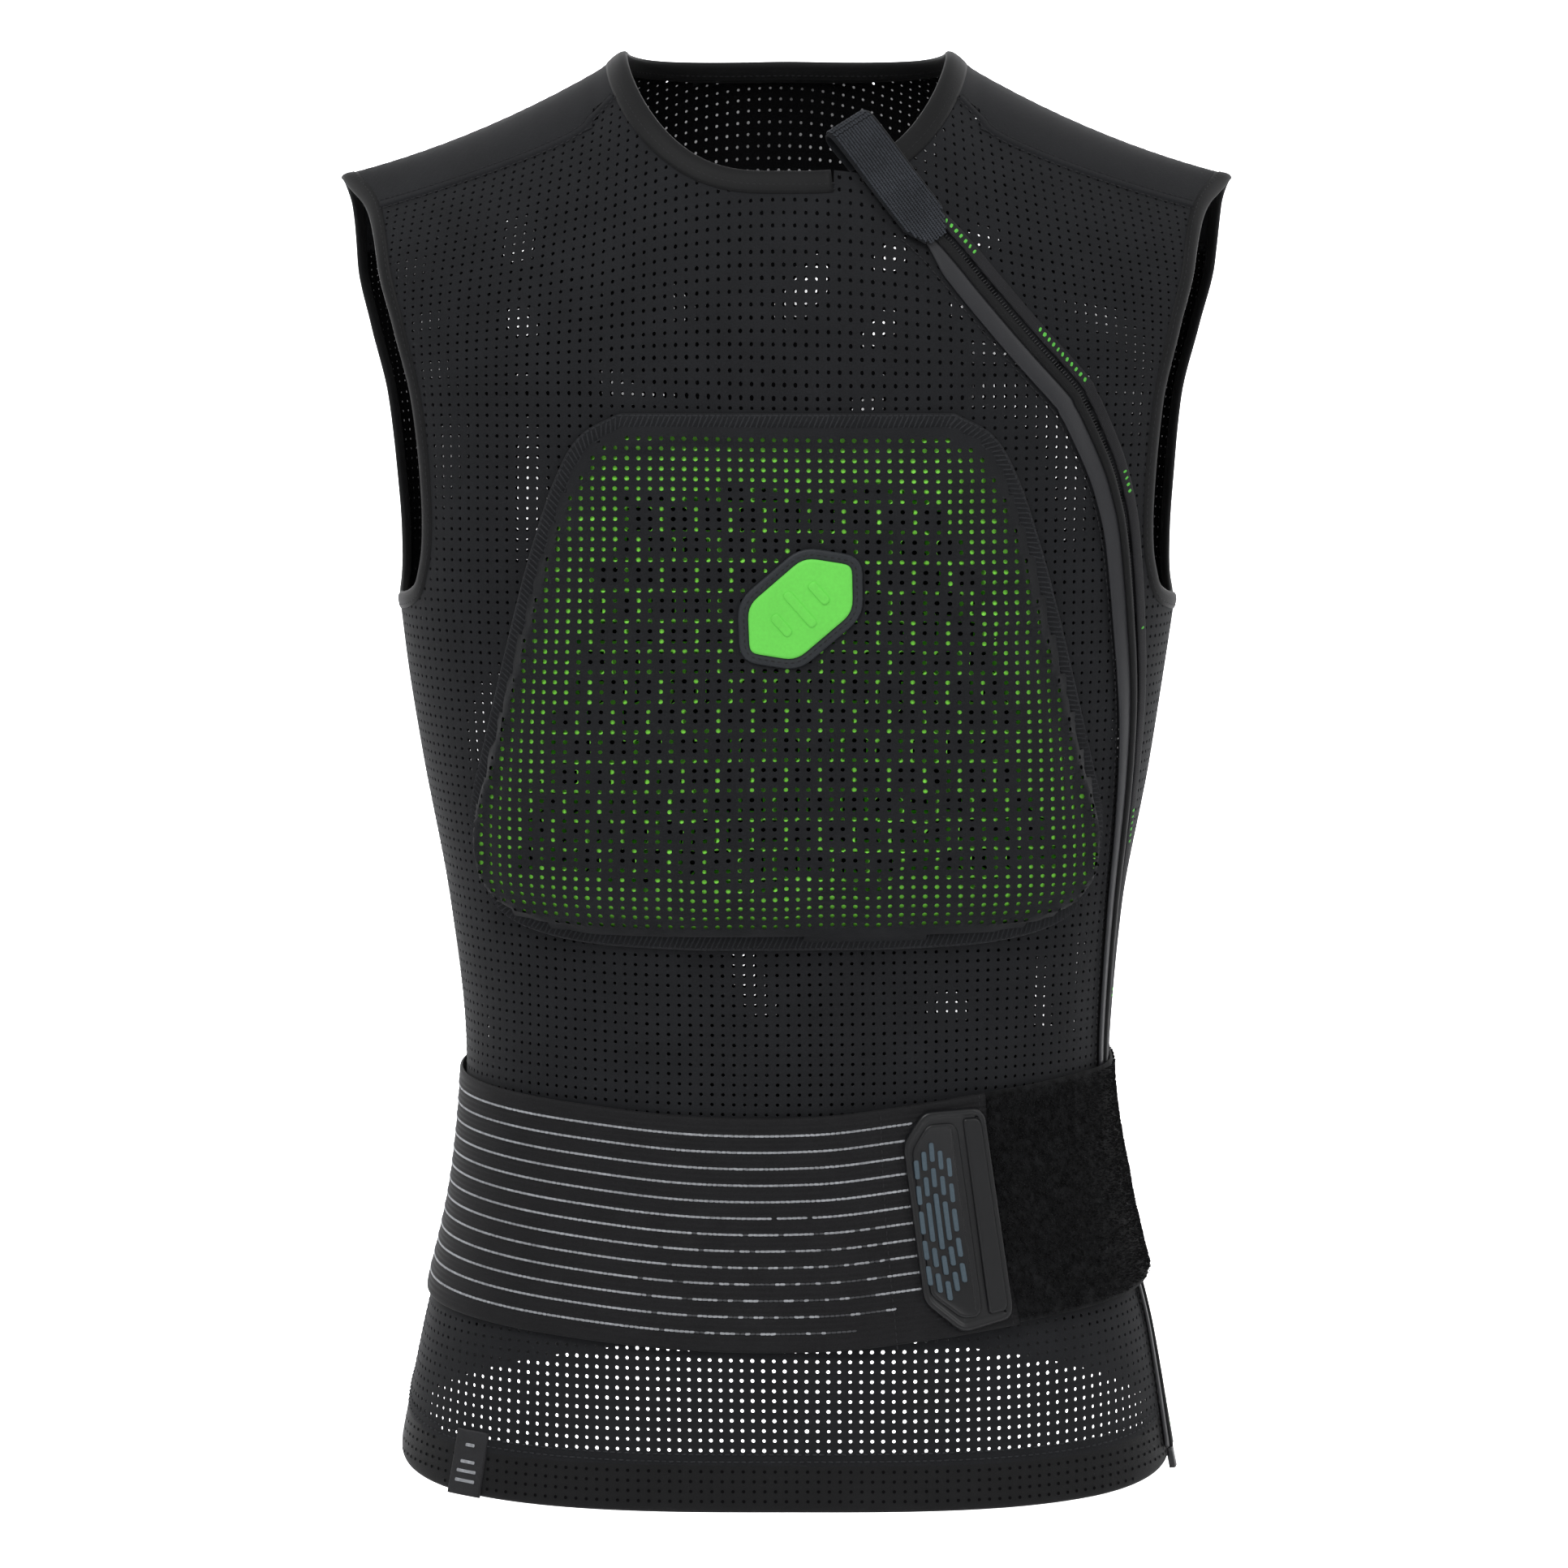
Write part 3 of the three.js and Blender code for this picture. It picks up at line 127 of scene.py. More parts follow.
GREEN = material("tick", (0.10, 0.50, 0.06), 0.6, 0.2, 900, 0.2)
# Painted shade: near-black sheets with patchy alpha, standing in for the shaded inside seen through the back's
# holes
SHADE_SHEET = material("back_painted_shade", (0.004, 0.004, 0.0045), 0.95, 0.2, 1200, 0.2, spec=0.03)
SHADE_SHEET_DENSE = material("back_painted_shade_dense", (0.005, 0.005, 0.0055), 0.95, 0.2, 1200, 0.2, spec=0.03)
for m, low_alpha, high_alpha in ((SHADE_SHEET, 0.55, 1.0), (SHADE_SHEET_DENSE, 0.93, 0.985)):
    tree = m.node_tree
    patch = node(tree, "TexNoise", {"Scale": 16, "Detail": 1})
    tree.links.new(tree.nodes["Texture Coordinate"].outputs["Object"], patch.inputs["Vector"])
    span = node(tree, "MapRange", {"From Min": 0.38, "From Max": 0.6, "To Min": low_alpha, "To Max": high_alpha})
    tree.links.new(patch.outputs["Fac"], span.inputs["Value"])
    tree.links.new(span.outputs["Result"], tree.nodes["Principled BSDF"].inputs["Alpha"])
FLOOR = material("floor", (0.86, 0.86, 0.87), 0.8, 0.01, 3, 0.02)

# The body's surface in millimetres. A place on it is (a, v): a runs round the body from the front's centre
# to the wearer's left, v runs up the front to 0 at the shoulder's ridge and then down the back.
# Level sections: share of the length, then shares of half width, front and back depth, and both squareness
SECTIONS = np.array([
    (-0.06, 1.135, .92, .97, 2.6, 3.4), (0, 1.135, .93, .98, 2.6, 3.4), (.13, 1.135, .96, 1.01, 2.6, 3.4),
    (.175, 1.098, .975, 1.02, 2.6, 3.3), (.225, 1.05, .99, 1.02, 2.6, 3.1), (.3, 1.02, 1, 1.02, 2.6, 2.9),
    (.375, .998, 1, .98, 2.6, 2.7), (.48, .946, .98, .92, 2.5, 2.5), (.585, .878, .93, .85, 2.4, 2.4),
    (.695, .837, .89, .79, 2.4, 2.4), (.79, .862, .91, .83, 2.4, 2.4), (.9, .955, .96, .93, 2.4, 2.4),
    (1, 1.028, 1.01, 1, 2.4, 2.4)])
# The zip's line, as shares of the quarter girth and of the run from the ridge to the hem
ZIP = np.array([
    (0.0701, 0.118), (0.1704, 0.1355), (0.2574, 0.147), (0.3541, 0.165), (0.4358, 0.18), (0.5192, 0.1945),
    (0.5414, 0.2), (0.56, 0.21), (0.6106, 0.243), (0.639, 0.267), (0.6638, 0.295), (0.6967, 0.355),
    (0.749, 0.43), (0.787, 0.52), (0.825, 0.6), (0.85, 0.68), (0.895, 0.77), (0.925, 0.865), (0.9, 0.93),
    (0.865, 1.02)])
# Armhole: shares of its reach and of its run. Pocket: shares of its half width and height
ARM_FRONT = np.array([(.985, 0), (.935, .1), (.84, .24), (.8, .42), (.8, .62), (.805, .8), (.83, .91), (.9, .975),
                      (1.127, .998)])
ARM_BACK = np.array([(.985, 0), (.98, .15), (.98, .4), (.985, .65), (.995, .85), (1.03, .95), (1.127, .998)])
POCKET = np.array([
    (.44, 0), (.54, .04), (.61, .12), (.68, .24), (.75, .38), (.83, .53), (.91, .66), (.98, .76), (1, .84),
    (.975, .91), (.89, .96), (.66, .99), (.3, 1)])
# Belt's upper edge and hem: shares of the quarter girth, and of the belt's height or the hem's rise
BELT = np.array([(-1.3, .1), (-.85, .08), (-.5, .04), (-.2, 0), (.05, 0), (.25, .04), (.5, .095), (.85, .14),
                 (1.2, .155), (2, .14), (2.7, .1)])
HEM = np.array([(0, 0), (.6, 0), (.85, .14), (1, .38), (1.3, .66), (2, 1)])
GIRTH, ARCH, RUN, LENGTH = 240.0, 130.0, 649.0, 669.0  # GIRTH is a quarter of the way round
HALF_WIDTH, FRONT_DEPTH, BACK_DEPTH, CHEST = 184.0, 107.0, 106.0, -150.0
SHOULDER_WIDTH, SHOULDER_SQUARE = 1.135, 2.6
RIDGE_NECK, RIDGE_RUN = 88, 112
ARM_REACH, ARM_RUN = 213, 231
NECK_HALF, NECK_BACK, NECK_FRONT, NECK_BACK_POWER, NECK_FRONT_POWER = 72, 55.5, 91, 2.25, 2.7
POCKET_HALF, POCKET_TOP, POCKET_LONG = 163, -140, 240
BELT_LONG, BELT_TOP = 110, -463
HEM_RISE = 37


def along(keys, values, at):
    """A smooth curve through rows of keys and values."""
    x = np.clip(np.asarray(at, float), keys[0], keys[-1])
    i = np.clip(np.searchsorted(keys, x, side="left") - 1, 0, len(keys) - 2)
    slope = np.empty(len(keys))
    slope[1:-1] = (values[2:] - values[:-2]) / (keys[2:] - keys[:-2])
    slope[0] = (values[1] - values[0]) / (keys[1] - keys[0])
    slope[-1] = (values[-1] - values[-2]) / (keys[-1] - keys[-2])
    run = keys[i + 1] - keys[i]
    t = (x - keys[i]) / run
    return ((2 * t**3 - 3 * t**2 + 1) * values[i] + (t**3 - 2 * t**2 + t) * run * slope[i]
            + (3 * t**2 - 2 * t**3) * values[i + 1] + (t**3 - t**2) * run * slope[i + 1])


turn = np.linspace(0, math.pi / 2, 401)
side_x = np.sin(turn) ** (2 / SHOULDER_SQUARE)
side_y = FRONT_DEPTH / HALF_WIDTH * np.cos(turn) ** (2 / SHOULDER_SQUARE)
side_arc = np.concatenate([[0], np.cumsum(np.hypot(np.diff(side_x), np.diff(side_y)))])
side_arc /= side_arc[-1]


def ridge(x):
    """Height of the shoulder's ridge at a distance from the centre."""
    out = np.abs(x)
    s = (out - RIDGE_NECK) / RIDGE_RUN
    return np.where(out < RIDGE_NECK, 2 + 35 * (1 - (out / RIDGE_NECK) ** 2), 2 - 47 * (1.35 * s - .35 * s * s))


def body(a, v):
    """The surface's point at a place; beyond a quarter turn from the front's side it goes on behind."""
    t = a / GIRTH + 1
    around = t - 4 * np.floor(t / 4) - 1
    wrapped = around > 1
    around = np.where(wrapped, 2 - around, around)
    back = (v > 0) ^ wrapped
    down = -np.abs(v)
    lift = np.clip((down + ARCH) / ARCH, 0, 1)
    share = 1 - (1 - lift) ** 2
    side = np.sign(around) * np.interp(np.abs(around), side_arc, side_x)
    z = CHEST + np.minimum(down + ARCH, 0) + share * (ridge(HALF_WIDTH * SHOULDER_WIDTH * side) - CHEST)
    width, front, behind, front_square, back_square = [
        along(SECTIONS[:, 0], SECTIONS[:, k], -z / LENGTH) for k in range(1, 6)]
    square = np.where(back, back_square, front_square)
    section = np.clip(1 - np.abs(side) ** square, 0, None) ** (1 / square)
    closing = np.where(back, np.clip(1 - share**4.0, 0, None) ** (1 / 2.6),
                       np.clip(1 - share**2.2, 0, None) ** (1 / 2.0))
    depth = np.where(back, BACK_DEPTH * behind, -FRONT_DEPTH * front)
    return np.stack([HALF_WIDTH * width * side, depth * section * closing, z], -1)


def drape(a, v):
    """Soft unevenness of the worn cloth, along the surface's normal; it fades at the side seams."""
    a = (a + GIRTH) % (4 * GIRTH) - GIRTH
    a, v = np.where(a > GIRTH, 2 * GIRTH - a, a), np.where(a > GIRTH, -v, v)
    wave = (0.9 * np.sin(a / 61 + v / 83 + 0.6) * np.sin(v / 57 - a / 140)
            + 0.55 * np.sin(a / 29 - v / 47 + 2.1) * np.sin(v / 33 + 1.2)
            + 0.35 * np.sin(v / 17 + 2.4 * np.sin(a / 75)) * np.exp(-((v + 430) / 70) ** 2))
    return wave * np.clip((np.abs(v) - 20) / 60, 0, 1) * np.clip((GIRTH - np.abs(a)) / 30, 0, 1)


def unit(d):
    return d / np.maximum(np.linalg.norm(d, axis=-1, keepdims=True), 1e-9)


def normals(a, v):
    """Outward directions of the surface."""
    return unit(np.cross(body(a + 1, v) - body(a - 1, v), body(a, v + 1) - body(a, v - 1)))


def on(a, v, height=0.0):
    """Points at a height over the draped surface."""
    a, v = np.broadcast_arrays(np.asarray(a, float), np.asarray(v, float))
    return body(a, v) + normals(a, v) * (np.asarray(height, float) + drape(a, v))[..., None]


# Mesh helpers
def make(name, points, faces, mats, nodes=(), slot=None, smooth=True, pick=None):
    """A mesh from points in millimetres and arrays of faces with the same number of corners each."""
    me = bpy.data.meshes.new(name)
    points = np.asarray(points, float).reshape(-1, 3) / 1000
    faces = [np.asarray(f, int).reshape(-1, np.shape(f)[-1]) for f in faces if len(f)]
    used, number = np.unique(np.concatenate([f.ravel() for f in faces]), return_inverse=True)
    points = points[used]
    me.vertices.add(len(points))
    me.vertices.foreach_set("co", points.astype(np.float32).ravel())
    sizes = np.concatenate([np.full(len(f), f.shape[1]) for f in faces])
    me.loops.add(len(number))
    me.loops.foreach_set("vertex_index", number.ravel().astype(np.int32))
    me.polygons.add(len(sizes))
    me.polygons.foreach_set("loop_start", np.concatenate([[0], np.cumsum(sizes)[:-1]]).astype(np.int32))
    me.polygons.foreach_set("use_smooth", np.full(len(sizes), smooth))
    mats = mats if isinstance(mats, (list, tuple)) else [mats]
    for m in mats:
        me.materials.append(m)
    if pick is not None:
        me.polygons.foreach_set("material_index", np.asarray(pick, np.int32))
    me.update(calc_edges=True)
    me.validate()
    o = bpy.data.objects.new(name, me)
    scene.collection.objects.link(o)
    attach(o, "root")
    if nodes:
        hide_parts(*nodes)
    return o


def grid_faces(rows, cols, closed=False, base=0):
    """Four-cornered faces of a grid, whose rows may close on themselves."""
    j, i = np.mgrid[0:rows - 1, 0:cols - (0 if closed else 1)]
    i, j = i.ravel(), j.ravel()
    k = (i + 1) % cols
    return np.stack([base + j * cols + i, base + j * cols + k, base + (j + 1) * cols + k,
                     base + (j + 1) * cols + i], -1)


def tube_faces(rows, cols):
    """Faces of a closed profile carried along a line, with both ends."""
    last = np.arange((rows - 1) * cols, rows * cols)
    return [grid_faces(rows, cols, closed=True), np.arange(cols)[None], last[None, ::-1]]


def looped(line):
    """A line that comes back to its first point."""
    return np.concatenate([line, line[:1]])


def lengths(line):
    """Distance of each point of a line from its start."""
    return np.concatenate([[0], np.cumsum(np.linalg.norm(np.diff(line, axis=0), axis=1))])


def resample(line, step):
    """Even points along a pattern line, by its real length."""
    line = np.asarray(line, float)
    parts = [np.linspace(p, q, 12, endpoint=False) for p, q in zip(line[:-1], line[1:])]
    fine = np.concatenate(parts + [line[-1:]])
    s = lengths(body(fine[:, 0], fine[:, 1]))
    n = max(int(round(s[-1] / step)), 2)
    at = np.linspace(0, s[-1], n + 1)
    return np.stack([np.interp(at, s, fine[:, 0]), np.interp(at, s, fine[:, 1])], -1)


def line_frame(line, height=0.0, closed=False):
    """Point, direction, side (to the left seen from outside) and normal at each place of a line."""
    a, v = line[:, 0], line[:, 1]
    p = on(a, v, height)
    t = unit(np.roll(p, -1, 0) - np.roll(p, 1, 0) if closed else np.gradient(p, axis=0))
    n = normals(a, v)
    return p, t, unit(np.cross(n, t)), n


def place_frame(a, v, height):
    """Point, direction round the body, the way across it and normal at each place."""
    p, n = on(a, v, height), normals(a, v)
    t = unit(on(a + 1, v, height) - p)
    return p, t, np.cross(n, t), n


def sweep(name, line, profile, mat, closed=False, shut=True, **kw):
    """A profile of (sideways, height) pairs swept along a pattern line."""
    profile = np.asarray(profile, float)
    p, _, b, n = line_frame(line, 0, closed)
    pts = p[:, None] + b[:, None] * profile[None, :, :1] + n[:, None] * profile[None, :, 1:]
    rows, cols = len(line), len(profile)
    if closed:
        i = np.arange(cols)
        k = (i + 1) % cols
        join = np.stack([(rows - 1) * cols + i, (rows - 1) * cols + k, k, i], -1)
        faces = [np.concatenate([grid_faces(rows, cols, closed=shut), join])]
    else:
        faces = tube_faces(rows, cols) if shut else [grid_faces(rows, cols)]
    return make(name, pts, faces, mat, **kw)


def oval(half, low_h, high_h, n=10, power=2.6):
    """Rounded flat profile between two heights."""
    t = np.linspace(0, 2 * math.pi, n, endpoint=False)
    c, s = np.cos(t), np.sin(t)
    x = half * np.sign(c) * np.abs(c) ** (2 / power)
    y = (low_h + high_h) / 2 + (high_h - low_h) / 2 * np.sign(s) * np.abs(s) ** (2 / power)
    return np.stack([x, y], -1)


def beads(name, p, t, b, n, long, wide, high, mat, skew=0.0, jitter=0.06, **kw):
    """Small rounded stitches at the given places: six corners each."""
    c = len(p)
    j = 1 + jitter * rng.standard_normal((c, 1))
    ang = skew + jitter * rng.standard_normal((c, 1)) if np.ndim(skew) == 0 else np.asarray(skew)[:, None]
    d = t * np.cos(ang) + b * np.sin(ang)
    e = np.cross(n, d)
    long = np.reshape(long, (-1, 1)) * j
    pts = np.stack([
        p - d * long / 2 - n * high * 0.3, p - d * long * 0.28 + e * wide / 2 - n * high * 0.1,
        p - d * long * 0.28 - e * wide / 2 - n * high * 0.1, p - d * long * 0.22 + n * high,
        p + d * long * 0.28 + e * wide / 2 - n * high * 0.1, p + d * long * 0.28 - e * wide / 2 - n * high * 0.1,
        p + d * long * 0.22 + n * high, p + d * long / 2 - n * high * 0.3], 1)
    tri = np.array([(0, 1, 3), (0, 3, 2), (7, 6, 4), (7, 5, 6)])
    quad = np.array([(1, 4, 6, 3), (3, 6, 5, 2)])
    base = 8 * np.arange(c)[:, None, None]
    return make(name, pts, [(base + tri).reshape(-1, 3), (base + quad).reshape(-1, 4)], mat, **kw)


def stitch(name, line, spacing, long, wide, high, height, mat, side=0.0, skew=0.0, gap=None, **kw):
    """A row of stitches along a pattern line, where gap, if given, picks the places."""
    at = resample(line, spacing)
    p, t, b, n = line_frame(at, height)
    if gap is not None:
        keep = gap(at)
        p, t, b, n = p[keep], t[keep], b[keep], n[keep]
    return beads(name, p + b * side, t, b, n, long, wide, high, mat, skew, **kw)


def inside(poly, a, v):
    """Whether places lie in a closed pattern outline."""
    found = np.zeros(np.shape(a), bool)
    for (x0, y0), (x1, y1) in zip(poly, np.roll(poly, -1, 0)):
        cross = (y0 > v) != (y1 > v)
        with np.errstate(divide="ignore", invalid="ignore"):
            found ^= cross & (a < x0 + (x1 - x0) * (v - y0) / (y1 - y0 if y1 != y0 else 1e-9))
    return found


def reach_in(poly, a, v):
    """Distance to an outline from inside it, or minus the distance from outside."""
    near = np.full(np.shape(a), 1e9)
    for p0, p1 in zip(poly, np.roll(poly, -1, 0)):
        r = p1 - p0
        w = np.clip(((a - p0[0]) * r[0] + (v - p0[1]) * r[1]) / max((r ** 2).sum(), 1e-9), 0, 1)
        near = np.minimum(near, np.hypot(a - p0[0] - w * r[0], v - p0[1] - w * r[1]))
    return np.where(inside(poly, a, v), near, -near)


def spline(points, steps=8):
    """A smooth line through points."""
    p = np.asarray(points, float)
    q = np.concatenate([2 * p[:1] - p[1:2], p, 2 * p[-1:] - p[-2:-1]])
    out = []
    for i in range(1, len(q) - 2):
        for k in range(steps):
            t = k / steps
            out.append(0.5 * (2 * q[i] + (q[i + 1] - q[i - 1]) * t
                              + (2 * q[i - 1] - 5 * q[i] + 4 * q[i + 1] - q[i + 2]) * t**2
                              + (3 * q[i] - q[i - 1] - 3 * q[i + 1] + q[i + 2]) * t**3))
    return np.array(out + [q[-2]])


# Seams in the flat pattern
def zip_a(v):
    return GIRTH * along(ZIP[:, 1], ZIP[:, 0], -np.asarray(v, float) / RUN)


def arm_a(v):
    """Distance of the armhole's seam from the centre; far out below the underarm."""
    v = np.asarray(v, float)
    drop = np.abs(v) / ARM_RUN
    front = ARM_REACH * along(ARM_FRONT[:, 1], ARM_FRONT[:, 0], drop)
    back = ARM_REACH * along(ARM_BACK[:, 1], ARM_BACK[:, 0], drop)
    return np.where(drop > 0.998, 1e3, np.where(v > 0, back, front))


def hem_v(a, up=0.0):
    t = np.abs(np.asarray(a, float) / GIRTH) % 4
    around = np.where(t > 2, 4 - t, t)
    return -RUN + HEM_RISE * along(HEM[:, 0], HEM[:, 1], around) + up


def neck_in(a, v, grow):
    depth = np.where(v > 0, NECK_BACK, NECK_FRONT) + grow
    power = np.where(v > 0, NECK_BACK_POWER, NECK_FRONT_POWER)
    return (np.abs(a) / (NECK_HALF + grow)) ** power + (np.abs(v) / depth) ** power < 1


def neck_line(n):
    t = np.linspace(0, 2 * math.pi, n, endpoint=False)
    c, s = np.cos(t), np.sin(t)
    depth = np.where(s > 0, NECK_BACK, NECK_FRONT)
    power = 2 / np.where(s > 0, NECK_BACK_POWER, NECK_FRONT_POWER)
    return np.stack([NECK_HALF * np.sign(c) * np.abs(c) ** power, depth * np.sign(s) * np.abs(s) ** power], -1)


zip_line = spline(ZIP * (GIRTH, -RUN), 10)
zip_line = zip_line[zip_line[:, 1] > hem_v(zip_line[:, 0])]
zip_line = zip_line[~neck_in(zip_line[:, 0], zip_line[:, 1], -3.0)]
pocket_half = spline(POCKET * (POCKET_HALF, -POCKET_LONG) + (0, POCKET_TOP), 5)
pocket_line = np.concatenate([pocket_half, (pocket_half * (-1, 1))[::-1]])


def arm_line(side):
    front = spline(ARM_FRONT * (ARM_REACH, -ARM_RUN), 8)
    back = spline(ARM_BACK * (ARM_REACH, ARM_RUN), 8)
    return np.concatenate([front[::-1], back[1:]]) * (side, 1)


# Perforated cloth
PITCH_A, PITCH_V = 5.0, 4.7
EIGHT = np.linspace(0, 2 * math.pi, 8, endpoint=False)  # the corners of each hole
PANEL_H = 1.2  # height of a panel's outer face over the body
UNDER_EDGE = 2.6  # how far cloth goes on under a binding
UNDER_YOKE = 3.2
SIDE_EDGE = 241.5


def between(table, j, i, fy, fx):
    """Values of a table at shares fy and fx of the way from its row j and column i to the next."""
    return ((1 - fy) * ((1 - fx) * table[j, i] + fx * table[j, i + 1])
            + fy * ((1 - fx) * table[j + 1, i] + fx * table[j + 1, i + 1]))


class Lattice:
    """Rows and columns of holes with an even real pitch, counted from the centre line."""

    def __init__(self, v_from, v_to, centre=0.0, pitch=(PITCH_A, PITCH_V), reach=245.0, pull=0.7):
        self.pull = pull
        vs = np.arange(v_from, v_to, 1.0 if v_to > v_from else -1.0)
        way = body(np.full_like(vs, centre + 95), vs)
        t = lengths(way) / pitch[1]
        self.rows = int(t[-1]) - 1
        self.half = np.arange(0, 2 * self.rows + 3) / 2
        self.v_half = np.interp(self.half, t, vs)
        out = np.arange(0, reach + 1, 2.0)
        self.columns = int(reach / pitch[0]) + 6
        self.s_half = np.arange(-2 * self.columns, 2 * self.columns + 1) / 2
        table = []
        for v in self.v_half:
            s = lengths(body(centre + out, np.full_like(out, v))) / pitch[0]
            a = np.interp(np.abs(self.s_half), s, out, right=np.nan)
            a = np.where(np.isnan(a), reach + 1 + (np.abs(self.s_half) - s[-1]) * pitch[0], a)
            table.append(centre + np.sign(self.s_half) * a)
        self.a_half = np.array(table)

    def place(self, s, t):
        y = np.clip(t * 2, 0, len(self.half) - 1.001)
        x = np.clip((s + self.columns) * 2, 0, len(self.s_half) - 1.001)
        j, i = y.astype(int), x.astype(int)
        fy, fx = y - j, x - i
        a = between(self.a_half, j, i, fy, fx)
        v = (1 - fy) * self.v_half[j] + fy * self.v_half[j + 1]
        return (a + self.pull * (np.sin(v / 37 + 1) * np.cos(a / 61) + 0.7 * np.sin(a / 29 + v / 83)),
                v + self.pull * (np.sin(a / 43 + v / 59) + 0.6 * np.sin(v / 31)))


def perforated(name, lattice, keep, holes, height, mat, wall=0.8, radius=0.175, **kw):
    """Cloth with real holes: keep and holes say which cells are there and which are pierced."""
    j, k = np.mgrid[1:lattice.rows, -lattice.columns + 1:lattice.columns]
    j, k = j.ravel().astype(float), k.ravel().astype(float)
    a, v = lattice.place(k, j)
    use = keep(a, v)
    j, k, a, v = j[use], k[use], a[use], v[use]
    pierced = holes(a, v)
    count = int(pierced.sum())
    corner_j = (j[:, None] + np.array([-.5, -.5, .5, .5])).ravel()
    corner_k = (k[:, None] + np.array([-.5, .5, .5, -.5])).ravel()
    code = np.round((corner_j * 2) * 10000 + (corner_k * 2 + 4000)).astype(int)
    _, first, number = np.unique(code, return_index=True, return_inverse=True)
    number = number.reshape(-1, 4)
    ca, cv = lattice.place(corner_k[first], corner_j[first])
    wobble = 1 + 0.05 * rng.standard_normal((count, 1))
    hj = j[pierced][:, None] + radius * PITCH_A / PITCH_V * np.sin(EIGHT) * wobble
    hk = k[pierced][:, None] + radius * np.cos(EIGHT) * wobble
    ha, hv = lattice.place(hk.ravel(), hj.ravel())
    rim = on(ha, hv, height(ha, hv) - 0.04)
    points = [on(ca, cv, height(ca, cv)), rim]
    ring = len(ca) + 8 * np.arange(count)[:, None] + np.arange(8)
    c = number[pierced]
    tris = []
    # Corners go round from the low left; a ring's points go round from its right
    for c0, c1, h in ((1, 2, 0), (2, 3, 2), (3, 0, 4), (0, 1, 6)):
        before, after = (h - 1) % 8, (h + 1) % 8
        tris += [np.stack([c[:, c0], c[:, c1], ring[:, h]], -1),
                 np.stack([c[:, c1], ring[:, after], ring[:, h]], -1),
                 np.stack([c[:, c0], ring[:, h], ring[:, before]], -1)]
    faces = [np.concatenate(tris), number[~pierced]]
    if wall:
        points += [rim, on(ha, hv, height(ha, hv) - wall)]
        top_ring, low_ring = ring + 8 * count, ring + 16 * count
        following = np.roll(np.arange(8), -1)
        walls = np.stack([top_ring, top_ring[:, following], low_ring[:, following], low_ring], -1)
        faces.append(walls.reshape(-1, 4))
    if lattice.v_half[1] < lattice.v_half[0]:
        faces = [f[:, ::-1] for f in faces]
    return make(name, np.concatenate(points), faces, mat, **kw)


def in_yoke(a, v, shrink=0.0):
    out = np.abs(a)
    front = np.where(out < 77, -45, -55)
    back = np.interp(out, [61.2, 120], [22, 75])
    return (out > 61.2 + shrink) & (v > front + shrink) & (v < back - shrink)


def belt_top(a):
    around = (np.asarray(a, float) / GIRTH + 1.3) % 4 - 1.3
    return BELT_LONG * along(BELT[:, 0], BELT[:, 1], around) + BELT_TOP


def in_cloth(a, v):
    """Where the panels' cloth is, but for its end at the hem."""
    ok = (np.abs(a) < SIDE_EDGE) & ~neck_in(a, v, -UNDER_EDGE) & (np.abs(a) < arm_a(v) + UNDER_EDGE)
    return ok & ~in_yoke(a, v, UNDER_YOKE)


def under_belt(a, down):
    top = belt_top(a)
    return (down < top - 6) & (down > top - 104)


def front_keep(a, v):
    return in_cloth(a, v) & (v > hem_v(a, 20)) & (v < 2)


def hidden(a, v):
    return under_belt(a, v) | (reach_in(pocket_line, a, v) > 6) | (v < hem_v(a, 26))


def panel_h(a, v):
    return np.full(np.shape(a), PANEL_H)


def left_of_zip(a, v, by=0.0):
    return a < zip_a(v) - by


front = Lattice(0.0, -650.0)
SPLIT = -345  # the front is made in two parts, to keep each mesh small
for part, here in (("upper", lambda v: v > SPLIT), ("lower", lambda v: v <= SPLIT)):
    perforated(f"front_panel_{part}", front,
               lambda a, v: front_keep(a, v) & left_of_zip(a, v, -0.5) & here(v),
               lambda a, v: ~hidden(a, v) & left_of_zip(a, v, 4),
               panel_h, KNIT, nodes=["front_panel"], slot="knit")
perforated("zip_side_panel_cloth", front,
           lambda a, v: front_keep(a, v) & ~left_of_zip(a, v, 0.5),
           lambda a, v: ~hidden(a, v) & ~left_of_zip(a, v, -4),
           panel_h, KNIT, nodes=["zip_side_panel"], slot="knit")


# The back is charted from its own centre line, over the ridge and down
back_lattice = Lattice(0.0, 625.0, pull=2.2)


def back_test(a, v):
    return in_cloth(a, v) & (v < -hem_v(2 * GIRTH - np.abs(a), 20)) & (v > -1)


def back_hidden(a, v):
    return under_belt(2 * GIRTH - a, -v) | (-v < hem_v(2 * GIRTH - np.abs(a), 26))


for part, lo_v, hi_v in (("upper", -5, 330), ("lower", 330, 700)):
    perforated(f"back_panel_{part}", back_lattice,
               lambda a, v: back_test(a, v) & (v > lo_v) & (v <= hi_v),
               lambda a, v: ~back_hidden(a, v),
               panel_h, KNIT, wall=0.5, radius=0.135, nodes=["back_panel"], slot="knit")

# A near-black sheet behind the back's holes, painted shade that dims what shows through them; denser under the
# neck and beside the armholes
gv, ga = np.mgrid[-1:625:6.0, -244:245:6.0]
pts = on(ga, gv, 0.55)
f = grid_faces(*ga.shape)
inside_cloth = back_test(ga, gv).ravel()
f = f[inside_cloth[f].all(1)]
mid_a, mid_v = ga.ravel()[f].mean(1), gv.ravel()[f].mean(1)
deep_shade = (mid_v < 90) | (np.abs(mid_a) > 150) & (mid_v < 240)
make("back_panel_painted_shade", pts, [f], [SHADE_SHEET, SHADE_SHEET_DENSE], slot="knit", pick=deep_shade.astype(int))

